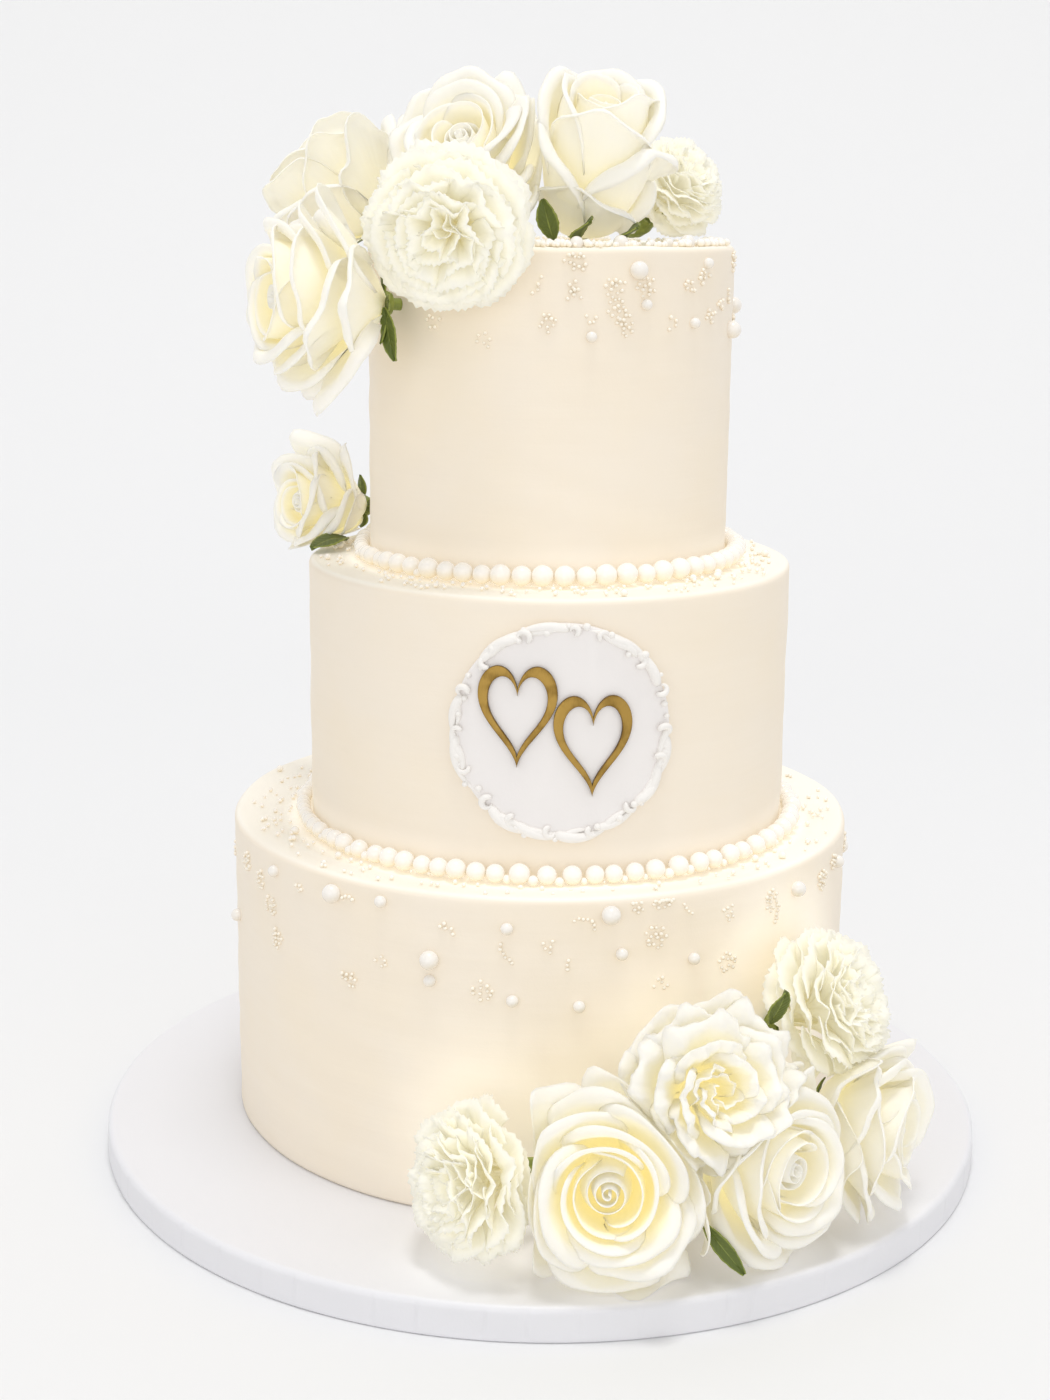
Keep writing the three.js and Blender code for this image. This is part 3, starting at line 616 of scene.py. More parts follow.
def rose_heart(batch, name, seed):
    """The rolled petal in the middle of a rose."""
    flower = FLOWERS[name]
    depth = flower.depth
    _, reach, height = ROSE_RINGS[flower.kind][0][:3]
    draw = seeded(seed)
    turns = 3.1
    around = np.linspace(0, 1, 110)
    rise_share = np.linspace(0, 1, 9)[:, None]
    size = flower.radius * reach * 0.84
    away = 0.5 + (size - 0.5) * around**1.2 * (0.8 + 0.4 * np.sin(math.pi * rise_share**0.8))
    top = depth * (height - 0.02 - 0.10 * around**2 + 0.03 * np.sin(11 * around + 1))
    up = -0.7 * depth + (top + 0.7 * depth) * rise_share
    azimuth = next(draw) * ANY_PHASE - around * turns * FULL_TURN + 0 * rise_share
    sheet = np.stack([away * np.cos(azimuth), away * np.sin(azimuth), up], axis=-1)
    points, faces = thin_body(sheet, 0.4)
    points = points @ facing(flower.turn, flower.rise) + np.array(flower.centre)
    ripe = both_sides(rise_share, away.shape)
    batch.add(points, faces, ripe=ripe, outer=paler(name, 0.0), across=0.0)


def carnation_petals(batch, name, seed):
    """Fan-shaped petals of a carnation with ruffled, notched rims."""
    flower = FLOWERS[name]
    radius, depth = flower.radius, flower.depth
    plan = CARNATION_PLAN
    draw = seeded(seed)
    rows, columns = 11, 27
    across = np.linspace(-1, 1, columns)
    reach = np.linspace(0, 1, rows)[:, None]
    fan = np.clip((reach - CLAW) / (1 - CLAW), 0, 1)
    size = radius / CARNATION_RADIUS
    spin = next(draw) * FULL_TURN
    for number in range(plan["count"]):
        share = min(max((number + 0.9 * (next(draw) - 0.5)) / (plan["count"] - 1), 0), 1)
        own = {
            key: float(np.interp(share**0.8, KNOTS, values))
            for key, values in plan.items() if key != "count"
        }
        crest = np.array([radius * own["radius"], depth * own["rise"]])
        crest = crest * (1 + 0.1 * (next(draw) - 0.5))
        base = np.array([1.0 + 1.5 * share, -0.72 * depth])
        lean = math.radians(own["lean"] + 20 * (next(draw) - 0.5))
        start, length = middle_line(base, crest, lean, CARNATION_BEND)
        half = own["width"] * size * (0.9 + 0.25 * next(draw))
        blade = length * (1 - CLAW)
        spread = half / blade
        angle = spread * across[None, :] * (0.2 + 0.8 * smooth_step(fan, 0, 0.7))
        notch = 0.55 * size * np.where(np.arange(columns) % 2 == 0, 1, -1) * fan**6
        ragged = np.array([next(draw) - 0.5 for _ in range(columns)]) * 0.8 * size * fan**5
        forward = reach * length - blade * fan * (1 - np.cos(angle)) + notch + ragged
        sideways = (0.9 + blade * fan) * np.sin(angle) + 0.8 * across * (1 - fan)
        share_along = forward / length
        leans = start + (lean - start) * np.clip(share_along, 0, 1.1) ** CARNATION_BEND
        line_share = np.linspace(0, 1.12, 60)
        line_lean = start + (lean - start) * line_share**CARNATION_BEND
        step = line_share[1] * length
        line_away = base[0] + np.concatenate([[0], np.cumsum(np.cos(line_lean[:-1]) * step)])
        line_up = base[1] + np.concatenate([[0], np.cumsum(np.sin(line_lean[:-1]) * step)])
        away = np.interp(share_along, line_share, line_away)
        up = np.interp(share_along, line_share, line_up)
        phase, second = next(draw) * ANY_PHASE, next(draw) * ANY_PHASE
        waves = 1.35 + 0.8 * next(draw)
        depth_of_wave = own["ruffle"] * size * (0.8 + 0.5 * next(draw)) * fan**1.2
        ruffle = depth_of_wave * (
            np.sin(waves * math.pi * across + phase)
            + 0.35 * np.sin(2.1 * waves * math.pi * across + second)
        )
        away = away + ruffle * np.sin(leans) - sideways**2 / (2.2 * radius) * fan
        up = up - ruffle * np.cos(leans)
        azimuth = spin + number * GOLDEN_TURN + 0.5 * (next(draw) - 0.5)
        sheet = sheet_at(azimuth, away, sideways, up)
        add_petal(batch, name, sheet, 0.42 - 0.2 * fan**2, reach, across, 0.1 + 0.5 * share)


def add_green(batch, name, seed):
    """Hip, sepals and stem under a flower's petals."""
    kind, depth = FLOWERS[name].kind, FLOWERS[name].depth
    draw = seeded(seed)
    carnation = kind == "carnation"
    hip = 4.2 if carnation else 4.6
    long = 9.0 if carnation else 3.0
    seat = -0.86 * depth if carnation else (ROSE_BASE[kind][0] - 0.02) * depth
    reach = FLOWERS[name].radius * SEPAL_REACH[kind]
    profile = [(0, -1), (0.45, -0.98), (0.85, -0.7), (1, -0.1), (0.9, 0.5), (0.8, 1), (0, 1)]
    profile = [(away * hip, seat + up * long) for away, up in profile]
    points, faces = turned_body(profile, STEPS["hip"])
    batch.add(placed(name, points), faces, ripe=0.0, across=0.0)
    sepals = 5
    along = np.linspace(0, 1, 12)[:, None]
    across = np.linspace(-1, 1, 7)[None, :]
    half = (1.4 if carnation else 3.0) * np.sin(math.pi * (0.12 + 0.86 * along)) ** 0.9 * across
    away = hip * 0.8 + along * reach + 0 * across
    up = seat + 0.5 * long + 0.10 * depth * along**1.7 - 0.5 * np.abs(across)
    for number in range(sepals):
        angle = (number + 0.3 * next(draw)) * FULL_TURN / sepals
        points, faces = thin_body(sheet_at(angle, away, half, up), 0.6)
        ripe, side = both_sides(along, half.shape), both_sides(across, half.shape)
        batch.add(placed(name, points), faces, ripe=ripe, across=side)
    foot = stem_length(name)
    if foot > depth:
        path = np.linspace((0, 0, -0.84 * depth), (0, 0, -foot), 6)
        points, faces = tube_body(path, [STEM["radius"]] * len(path), 12)
        batch.add(placed(name, points), faces, ripe=0.0, across=0.0)


def stem_length(name):
    """How far back from its centre a flower's stem comes to what it is stuck into."""
    flower = FLOWERS[name]
    back = -facing(flower.turn, flower.rise)[2]
    length = flower.depth
    while length < flower.depth + STEM["longest"]:
        end = np.array(flower.centre) + back * (length + STEM["room"])
        inside = any(end[2] < tier["top"] and from_axis(tier, end) < tier["radius"] for tier in TIERS)
        if inside or end[2] <= BOARD["height"]:
            break
        length += 0.5
    return length


def add_leaf(batch, name, seed):
    """A thin wavy blade with a midrib, pointed at both ends."""
    leaf = LEAVES[name]
    base, face = np.array(leaf.base, float), np.array(leaf.face, float)
    along = np.array(leaf.tip, float) - base
    length = np.linalg.norm(along)
    along = along / length
    face = face - along * (face @ along)
    face = face / np.linalg.norm(face)
    side = np.cross(face, along)
    share = np.linspace(0, 1, 26)[:, None]
    across = np.linspace(-1, 1, 13)[None, :]
    away = np.abs(across)
    saw = 1 + 0.03 * np.sin(34 * share) * smooth_step(away, 0.8, 1)
    half = leaf.width / 2 * np.sin(math.pi * (0.04 + 0.92 * share)) ** 0.8 * saw
    lift = 0.06 * length * np.sin(math.pi * share) + away * (0.5 + 0.5 * np.sin(7 * share + seed))
    lift = lift + 0.25 * np.abs(np.sin(9 * share * math.pi - 2.4 * away)) * away
    lift = lift - 0.35 * np.exp(-((across / 0.09) ** 2))
    sheet = (
        base + (share * length + 0 * across)[..., None] * along
        + (half * across)[..., None] * side + lift[..., None] * face
    )
    points, faces = thin_body(sheet, 0.9 - 0.45 * away + 0.4 * np.exp(-((across / 0.12) ** 2)))
    ripe, side = both_sides(share, half.shape), both_sides(across, half.shape)
    batch.add(points, faces, ripe=ripe, across=side)


def beside_flowers(points, share, reach):
    """How much painted light each point gets from the pale flowers that stand on the board, as a glow.

    It starts to fade at a share of a flower's radius, over a reach in millimetres.
    """
    near = np.zeros(len(points))
    for flower in FLOWERS.values():
        if flower.centre[2] < BOTTOM["top"]:
            apart = np.linalg.norm(points - np.array(flower.centre), axis=1) - share * flower.radius
            near = np.maximum(near, np.exp(-((np.maximum(apart, 0) / reach) ** 2)))
    return np.minimum(near, MOST_LIGHT)


def crown_of(points, tier):
    """1 on top of a tier and 0 on its side: where the painted top light goes."""
    return smooth_step(points[:, 2], tier["top"] - 1.6, tier["top"] - 0.3)


def beside_border(points, tier):
    """How much painted light the icing gets, as a glow, from the pearls at a tier's own foot and round the
    next tier's.
    """
    light = np.zeros(len(points))
    for border in BORDERS:
        carrier, reach = border["tier"], border["diameter"]
        if carrier is tier:
            above = points[:, 2] - tier["foot"] - reach
            light = np.maximum(light, SIDE_LIGHT * (1 - smooth_step(above, 0, 9)))
        elif carrier["foot"] == tier["top"]:
            away = from_axis(carrier, points) - carrier["radius"]
            near = 1 - smooth_step(away, reach, reach + 5.5)
            light = np.maximum(light, LEDGE_LIGHT * near * crown_of(points, tier))
    return light


def tier_body(tier, rim):
    """An iced tier: a hand-smoothed side, a soft uneven rim and a spread top."""
    radius, foot, top = tier["radius"], tier["foot"] + GAP, tier["top"]
    draw = seeded(tier["radius"] * 7)
    waves = []
    for _ in range(7):
        waves.append((2 + round(9 * next(draw)), next(draw) * ANY_PHASE, 0.02 + 0.05 * next(draw)))
    profile = [(0, foot), (radius * 0.6, foot), (radius - 1.5, foot), (radius - 0.3, foot + 0.3)]
    profile += [(radius, height) for height in np.arange(foot + 1.6, top - rim - 0.4, 2.2)]
    profile += upper_edge(radius, top, rim, 8)
    profile += [(away, top) for away in np.arange(radius - rim - 1.8, 3, -2.4)]
    profile.append((0, top))

    def warp(away, height, around):
        low = 0
        for count, phase, size in waves:
            low = low + size * np.sin(count * around + phase + 0.05 * count * height)
            low = low + size * 0.6 * np.sin(2 * count * around - phase - 0.09 * height)
        strokes = 0.03 * np.sin(1.9 * height + 2 * np.sin(3 * around))
        strokes = strokes * np.sin(5 * around + 0.11 * height)
        on_flank = smooth_step(away, radius - rim - 3, radius - rim)
        on_top = smooth_step(height, top - rim, top)
        scraped = 0.10 * np.sin(0.9 * away + 1.4 * np.sin(2 * around + 1)) * np.sin(4 * around + 2)
        ridge = 0.30 * np.exp(-(((away - radius + rim) / 1.6) ** 2))
        ridge = ridge * (0.6 + 0.4 * np.sin(11 * around + waves[0][1]))
        wander = 0.14 * np.sin(3 * around + waves[1][1]) + 0.10 * np.sin(7 * around + waves[2][1])
        inner = smooth_step(away, 0, 12)
        away = away + (low + strokes) * on_flank
        height = height + (low * 1.2 + scraped + ridge + wander - 0.35) * on_top * inner
        height = np.where(inner < 1, height - 0.35 * on_top * (1 - inner), height)
        return away, np.minimum(height, top + 0.25)

    points, faces = turned_body(profile, STEPS["tier"], warp)
    return points + np.array([tier["x"], tier["y"], 0]), faces


def board_body(pleats, pleat_depth):
    """The round board: paper pleated down over its edge and folded under it."""
    radius, top, edge = BOARD["radius"], BOARD["height"], BOARD["edge"]
    draw = seeded(SEEDS["board"])
    folds = [(fold + 0.7 * (next(draw) - 0.5)) / pleats * FULL_TURN for fold in range(pleats)]
    heights = [0.5 + 0.9 * next(draw) for _ in folds]
    profile = [(0, 0), (radius - 24, 0), (radius - 3, 0)] + lower_edge(radius, 1.2, 4)
    profile += [(radius, height) for height in np.arange(2.4, top - edge - 0.3, 1.2)]
    profile += upper_edge(radius, top, edge, 8)
    profile += [(away, top) for away in np.linspace(radius - edge - 2, 6, 30)]
    profile.append((0, top))

    def warp(away, height, around):
        on_edge = smooth_step(height, 0.4, 1.6) * (1 - smooth_step(height, top - edge * 0.7, top))
        on_edge = on_edge * smooth_step(away, radius - edge - 0.5, radius - 0.6)
        relief = 0.10 * np.sin(9 * around + 0.4) + 0.08 * np.sin(23 * around + 0.3 * height)
        for fold, strong in zip(folds, heights):
            apart = (around - fold + math.pi) % FULL_TURN - math.pi
            offset = apart * radius - 0.08 * (height - top / 2)
            relief = relief - pleat_depth * strong * np.exp(-((offset / 0.55) ** 2))
            step_up = smooth_step(offset, 0, 0.5) * (1 - smooth_step(offset, 1.5, 14))
            relief = relief + 0.6 * pleat_depth * strong * step_up
        return away + (relief - 0.12) * on_edge, height

    return turned_body(profile, STEPS["board"], warp)


def hidden_spots(tier, draw):
    """Pearls on the part of a tier that the front view hides."""
    count = HIDDEN_PEARLS[tier["name"]]
    span = HIDDEN_PEARLS["to"] - HIDDEN_PEARLS["from"]
    deep = HIDDEN_PEARLS["deep"] - HIDDEN_PEARLS["shallow"]
    spots = []
    for number in range(count):
        degrees = HIDDEN_PEARLS["from"] + span * (number + 0.2 + 0.6 * next(draw)) / count
        drop = HIDDEN_PEARLS["shallow"] + deep * next(draw)
        spots.append((degrees, drop, 6.5 if number % 3 == 0 else 4.5))
    return spots


def is_taken(point, room):
    """True where a flower or a leaf stands in a pearl's place."""
    for flower in FLOWERS.values():
        if math.dist(point, flower.centre) < max(flower.radius * FLOWER_REACH, flower.depth) + room:
            return True
    for leaf in LEAVES.values():
        base = np.array(leaf.base, float)
        along = np.array(leaf.tip, float) - base
        share = min(max((point - base) @ along / (along @ along), 0), 1)
        if np.linalg.norm(point - base - share * along) < leaf.width / 2 + room:
            return True
    return False


def pearl_spots():
    """Centres and diameters of the larger pearls on the bottom and the top tier."""
    balls = []
    for tier, shown in ((BOTTOM, BOTTOM_PEARLS), (TOP, TOP_PEARLS)):
        for degrees, drop, size in list(shown) + hidden_spots(tier, seeded(tier["radius"])):
            balls.append((on_side(tier, degrees, size * PEARL_OUT, tier["top"] - drop), size))
    for degrees, inwards, size in RIM_PEARLS:
        balls.append((on_side(TOP, degrees, -inwards, TOP["top"] + size * PEARL_OUT), size))
    return [(centre, size) for centre, size in balls if not is_taken(centre, size / 2 + PEARL_ROOM)]


def chain_of(draw, size):
    """A short wandering row of nonpareils: places across and down."""
    heading = next(draw) * ANY_PHASE
    spots = [(0.0, 0.0)]
    for _ in range(2 + round(4 * next(draw))):
        heading += (next(draw) - 0.5) * 1.8
        step = size * (1.02 + 0.3 * next(draw))
        spots.append((spots[-1][0] + step * math.cos(heading), spots[-1][1] + step * math.sin(heading)))
    return spots


def rosette_of(draw, size):
    """A loose round heap of nonpareils: places across and down."""
    count = 4 + round(13 * next(draw) ** 1.4)
    reach = size * (0.55 + 0.62 * math.sqrt(count))
    spots = []
    for _ in range(count * 9):
        away, angle = reach * math.sqrt(next(draw)), ANY_PHASE * next(draw)
        spot = (away * math.cos(angle), away * math.sin(angle))
        if all(math.dist(spot, other) > 1.02 * size for other in spots) and len(spots) < count:
            spots.append(spot)
    return spots


def cluster_spots(size):
    """Nonpareils in small chains and rosettes on the sides of the bottom and the top tier."""
    draw = seeded(SEEDS["clusters"])
    balls = []
    plan = HIDDEN_CLUSTERS
    for tier, shown in ((BOTTOM, BOTTOM_CLUSTERS), (TOP, TOP_CLUSTERS)):
        clusters = list(shown)
        for number in range(plan[tier["name"]]):
            degrees = plan["from"] + plan["span"] * (number + next(draw)) / plan[tier["name"]]
            clusters.append((degrees, plan["shallow"] + plan["deep"] * next(draw)))
        for degrees, drop in clusters:
            spots = chain_of(draw, size) if next(draw) < 0.25 else rosette_of(draw, size)
            for across, down in spots:
                diameter = size * (0.85 + 0.3 * next(draw))
                turned = degrees + math.degrees(across / tier["radius"])
                height = tier["top"] - max(drop + down, LEAST_DROP)
                centre = on_side(tier, turned, diameter * SIDE_BALL_OUT, height)
                if not is_taken(centre, diameter / 2 - UNDER_ON_SIDE):
                    balls.append((centre, diameter))
    return balls


def ledge_spots(tier, below, count, seed, size):
    """Balls sprinkled on the ledge round a tier's foot, thickest beside its border."""
    draw = seeded(seed)
    balls = []
    while len(balls) < count:
        degrees = 360 * next(draw)
        outwards = (below["radius"] - tier["radius"] - 4) * next(draw) ** 1.4
        large = next(draw) < 0.08
        diameter = size * (0.8 + 0.5 * next(draw)) * (1.8 if large else 1)
        height = below["top"] + diameter * LEDGE_BALL_OUT
        point = on_side(tier, degrees, LEDGE_START + outwards, height)
        if from_axis(below, point) <= below["radius"] - LEDGE_END and not is_taken(point, -UNDER_ON_LEDGE):
            balls.append((point, diameter))
    return balls


def rim_spots(size):
    """Small balls strewn on the top of the upper tier, mostly along its front rim."""
    draw = seeded(SEEDS["rim"])
    balls = []
    for number in range(RIM_BALLS["count"]):
        in_front = number < RIM_BALLS["in_front"]
        degrees = -12 + 112 * next(draw) if in_front else 100 + 200 * next(draw)
        inwards = 2.4 + (9 if in_front else 26) * next(draw) ** 1.5
        diameter = size * (0.9 + 0.9 * next(draw) ** 3) * (1.25 if in_front else 1)
        point = on_side(TOP, degrees, -inwards, TOP["top"] + diameter * RIM_BALL_OUT)
        if not is_taken(point, -UNDER_ON_RIM):
            balls.append((point, diameter))
    return balls


def border_spots(border):
    """Pearls of a border, side by side round its tier's foot, with small ones in some gaps.

    The pearls are smaller at the left, and to the right of the front small ones part them.
    """
    draw = seeded(border["seed"])
    tier = border["tier"]
    seat = tier["foot"] + GAP
    middle = BEAD_AWAY * border["diameter"] + GAP
    reach = tier["radius"] + middle
    balls = []
    degrees = -180.0
    while degrees < 179:
        small_side = math.exp(-(((degrees - SMALLER["middle"]) / SMALLER["spread"]) ** 2))
        size = border["diameter"] * (1.02 + 0.16 * next(draw)) * (1 - SMALLER["less"] * small_side)
        often = PARTED["from"] < degrees < PARTED["to"] or abs(degrees) > PARTED["behind"]
        parted = next(draw) < (border["parted"] if often else PARTED["elsewhere"])
        between = (1.2 + 1.6 * next(draw)) if parted else 0.0
        pitch = math.degrees((size * 0.99 + between * 0.8) / reach)
        if degrees + pitch > 180.5:
            break
        snug = 0.5 * (size - border["diameter"])
        away = middle + snug + 0.3 * (next(draw) - 0.5)
        balls.append((on_side(tier, degrees, away, seat + size / 2), size))
        if parted or next(draw) < 0.3:
            small = between + 0.9 + 0.5 * next(draw)
            turned = degrees + pitch / 2 + 0.15 * (next(draw) - 0.5)
            balls.append((on_side(tier, turned, away + 0.2 + 1.4 * next(draw), seat + small / 2), small))
        degrees += pitch
    return balls


def plaque_body():
    """A smooth disc of fondant that follows the tier's side."""
    radius, front = PLAQUE["radius"] + 4.2, GAP + PLAQUE["thickness"]
    steps = STEPS["plaque"]
    rings = [(away, GAP) for away in np.linspace(radius / 8, radius, 8)]
    rings += upper_edge(radius, front, 0.9, 5)
    rings += [(away, front) for away in np.linspace(radius - 3, radius / 12, 11)]
    angle = np.arange(steps) / steps * FULL_TURN
    sheets = [on_plaque(away * np.cos(angle), away * np.sin(angle), off) for away, off in rings]
    ends = [on_plaque(0, 0, GAP), on_plaque(0, 0, front)]
    return np.concatenate(sheets + [np.array(ends)]), capped_faces(len(rings), steps)


def add_stroke(batch, across, up, off, radii):
    """One stroke of piping on the plaque."""
    path = on_plaque(np.asarray(across), np.asarray(up), np.asarray(off) + 0 * np.asarray(across))
    outward = path - np.array([MIDDLE["x"], MIDDLE["y"], 0])
    outward[:, 2] = 0
    outward /= np.linalg.norm(outward, axis=1, keepdims=True)
    points, faces = tube_body(path, radii, 14, outward)
    batch.add(points, faces)


def pipe_arc(batch, start, sweep, away, radii, lift):
    """A piped stroke along the plaque's rim, pressed into the fondant by a little."""
    angle = start + sweep * np.linspace(0, 1, len(radii))
    off = GAP + PLAQUE["thickness"] - 0.5 + 0.55 * radii + lift
    add_stroke(batch, away * np.cos(angle), away * np.sin(angle), off, radii)


def pipe_scrolls(batch, rope):
    """Thick commas and long tapered strokes round the plaque, with curls and dots on them."""
    draw = seeded(SEEDS["piping"])
    share = np.linspace(0, 1, 20)
    tapered = np.sin(math.pi * (0.06 + 0.94 * share**0.6)) ** 0.7
    pitch = FULL_TURN / PIPING["pairs"]
    for number in range(PIPING["pairs"]):
        start = (number + 0.4 * (next(draw) - 0.5)) * pitch
        way = 1 if next(draw) < 0.7 else -1
        bulge = 1.8 + 1.2 * next(draw)
        away = PIPING["comma"] + bulge * np.sin(math.pi * (0.08 + 0.8 * share))
        thick = rope * (0.95 + 0.4 * next(draw))
        sweep = way * pitch * (1.2 + 0.4 * next(draw))
        pipe_arc(batch, start, sweep, away, 0.12 + thick * tapered * (1 - 0.5 * share), 0.0)
        away = PIPING["stroke"] - (0.2 + 1.6 * next(draw)) * np.sin(math.pi * share)
        thick = rope * (0.6 + 0.35 * next(draw))
        sweep = way * pitch * (0.7 + 0.4 * next(draw))
        radii = 0.12 + thick * tapered * (1 - 0.4 * share)
        pipe_arc(batch, start + 0.2 * pitch, sweep, away, radii, 0.3)
        spin = start - way * 0.1 * pitch
        turn = spin + way * (3.4 + share * math.pi * (1.2 + 0.5 * next(draw)))
        size = (1.7 + 1.1 * next(draw)) * (1 - 0.5 * share)
        middle = PIPING["curl"] + 1.6 * (next(draw) - 0.5)
        radii = 0.1 + rope * (0.5 + 0.3 * next(draw)) * tapered
        off = GAP + PLAQUE["thickness"] + 0.3 + radii
        across = middle * math.cos(spin) + size * np.cos(turn)
        add_stroke(batch, across, middle * math.sin(spin) + size * np.sin(turn), off, radii)
    for number in range(2 * PIPING["pairs"]):
        spin = (number + next(draw)) / 2 * pitch
        dot = rope * (0.5 + 0.4 * next(draw))
        middle = PIPING["dot"] + 4.4 * next(draw)
        along = np.linspace(0.05, 0.95, 8) * math.pi
        up = middle * math.sin(spin) + 0 * along
        off = GAP + PLAQUE["thickness"] + dot * 0.4 + 0.5
        add_stroke(batch, middle * math.cos(spin) - dot * np.cos(along), up, off, dot * np.sin(along))


def heart_outline(steps):
    """Points of a heart's middle line, in millimetres to the right and up."""
    angle = (np.arange(steps) + 0.5) / steps * FULL_TURN
    across = np.sin(angle) ** 3 / 2
    lobes = 13 * np.cos(angle) - 5 * np.cos(2 * angle) - 2 * np.cos(3 * angle) - np.cos(4 * angle)
    return across * HEART["width"], (lobes / 17 + 0.15) * HEART["height"] / 1.7


def heart_body(across, up, bevel):
    """An open heart drawn with a broad pen, cut from sheet with softened edges."""
    steps = STEPS["heart"]
    middle = np.stack(heart_outline(steps), axis=1)
    pen = middle * HEART["stroke"] * np.array([2.0 / HEART["width"], 2.2 / HEART["height"]])
    span = np.maximum(np.linalg.norm(pen, axis=1, keepdims=True), 0.1)
    back = 2 * GAP + PLAQUE["thickness"]
    front = back + HEART["thickness"]
    # The stroke's section up to its middle: share of its width, inset and height; then mirrored.
    section = [
        (-0.5, 0, back), (-0.5, 0, front - bevel), (-0.5, 0.6 * bevel, front - 0.2 * bevel),
        (-0.5, 1.6 * bevel, front), (-0.2, 0, front + 0.03),
    ]
    section += [(-half, -inset, off) for half, inset, off in reversed(section)]
    rings = []
    for half, inset, off in section:
        place = middle + pen * (half + inset / span)
        rings.append(on_plaque(across + place[:, 0], up + place[:, 1], off))
    faces = grid_faces(len(rings) + 1, steps, closed=True) % (len(rings) * steps)
    # How much darker each ring of the section is: dark on the sides, less over the bevel, none on the
    # front.
    darker_share = [1, 1, 0.8, 0.3, 0]
    return np.concatenate(rings), faces[:, ::-1], np.repeat(darker_share + darker_share[::-1], steps)


class Sum:
    """A number in a material's nodes that takes part in Python sums."""

    def __init__(self, finish, socket):
        self.finish = finish
        self.socket = socket

    def maths(self, operation, *values):
        made = self.finish.node("ShaderNodeMath", {"operation": operation}, dict(enumerate(values)))
        return Sum(self.finish, made.outputs[0])

    def __add__(self, other):
        return self.maths("ADD", self, other)

    def __radd__(self, other):
        return self.maths("ADD", other, self)

    def __sub__(self, other):
        return self.maths("SUBTRACT", self, other)

    def __rsub__(self, other):
        return self.maths("SUBTRACT", other, self)

    def __mul__(self, other):
        return self.maths("MULTIPLY", self, other)

    def __rmul__(self, other):
        return self.maths("MULTIPLY", other, self)

    def __abs__(self):
        return self.maths("ABSOLUTE", self)

    def wave(self):
        return self.maths("SINE", self)

    def between(self, low, high):
        """0 below low and 1 above high, with a soft start and end."""
        settings = {"interpolation_type": "SMOOTHSTEP"}
        values = {"Value": self, "From Min": low, "From Max": high}
        made = self.finish.node("ShaderNodeMapRange", settings, values)
        return Sum(self.finish, made.outputs[0])


class Finish:
    """The nodes of one material."""

    def __init__(self, name, **constants):
        self.material = bpy.data.materials.new(name)
        self.material.cycles.emission_sampling = "NONE"
        self.material.use_nodes = True
        self.tree = self.material.node_tree
        self.tree.nodes.clear()
        self.shader = self.node("ShaderNodeBsdfPrincipled", {}, {})
        output = self.node("ShaderNodeOutputMaterial", {}, {})
        self.tree.links.new(self.shader.outputs[0], output.inputs["Surface"])
        for socket, value in constants.items():
            self.shader.inputs[socket.replace("_", " ")].default_value = value

    def node(self, kind, settings, values):
        """Adds a node: its settings first, then values or links for its sockets."""
        made = self.tree.nodes.new(kind)
        for name, setting in settings.items():
            setattr(made, name, setting)
        for key, value in values.items():
            self.feed(made.inputs[key], value)
        return made

    def feed(self, socket, value):
        if isinstance(value, Sum):
            value = value.socket
        if isinstance(value, bpy.types.NodeSocket):
            self.tree.links.new(value, socket)
        else:
            socket.default_value = value

    def place(self, stretch=(1, 1, 1)):
        """Place on the cake in millimetres, stretched along the axes."""
        spot = self.node("ShaderNodeTexCoord", {}, {}).outputs["Object"]
        scale = tuple(1000 * share for share in stretch)
        return self.node("ShaderNodeVectorMath", {"operation": "MULTIPLY"}, {0: spot, 1: scale}).outputs[0]

    def mark(self, name):
        """A value that the mesh carries."""
        return Sum(self, self.node("ShaderNodeAttribute", {"attribute_name": name}, {}).outputs["Fac"])

    def noise(self, size, detail=2.0, stretch=(1, 1, 1)):
        """Noise with grains of about the given size in millimetres."""
        values = {"Vector": self.place(stretch), "Scale": 1 / size, "Detail": detail}
        return Sum(self, self.node("ShaderNodeTexNoise", {}, values).outputs[0])

    def blend(self, share, first, second):
        """A colour between two colours."""
        made = self.node("ShaderNodeMix", {"data_type": "RGBA"}, {0: share, 6: first, 7: second})
        return made.outputs[2]

    def colour(self, value):
        self.feed(self.shader.inputs["Base Color"], value)

    def rough(self, value):
        self.feed(self.shader.inputs["Roughness"], value)

    def glow(self, value):
        self.feed(self.shader.inputs["Emission Color"], value)

    def relief(self, height, depth):
        """Fine relief, with its depth in millimetres."""
        values = {"Height": height, "Distance": depth * MM, "Strength": 1.0}
        made = self.node("ShaderNodeBump", {}, values)
        self.feed(self.shader.inputs["Normal"], made.outputs[0])


BLACK = (0.0, 0.0, 0.0, 1.0)


def opaque(colour):
    """A colour with full alpha."""
    return (*colour[:3], 1.0)


def shade(colour, factor):
    """A colour made darker or lighter, with full alpha."""
    return opaque([min(channel * factor, 1.0) for channel in colour])


def icing_finish(settings):
    finish = Finish("ivory_icing", IOR=1.45, Emission_Strength=1.0)
    # Painted light: the icing glows faintly to lift its shade, more on the tops, and most beside the
    # flowers and the pearl borders.
    crown = finish.mark("crown")
    plain = finish.blend(crown, opaque(settings.icing_painted_glow), opaque(settings.top_painted_glow))
    finish.glow(finish.blend(finish.mark("beside"), plain, opaque(settings.flower_light)))
    patches = finish.noise(46, 3.0).between(0.32, 0.7)
    strokes = finish.noise(3.4, 4.0, (0.06, 0.06, 1.0))
    mixed = patches * 0.7 + strokes * 0.3
    side = finish.blend(mixed, opaque(settings.icing), opaque(settings.icing_warm))
    # Painted top light: the tops take a lighter colour than the sides.
    finish.colour(finish.blend(crown, side, opaque(settings.icing_top)))
    finish.rough(0.46 + 0.14 * strokes)
    fine = finish.noise(0.9, 3.0)
    finish.relief(strokes * 0.8 + fine * 0.2, 0.16)
    return finish.material


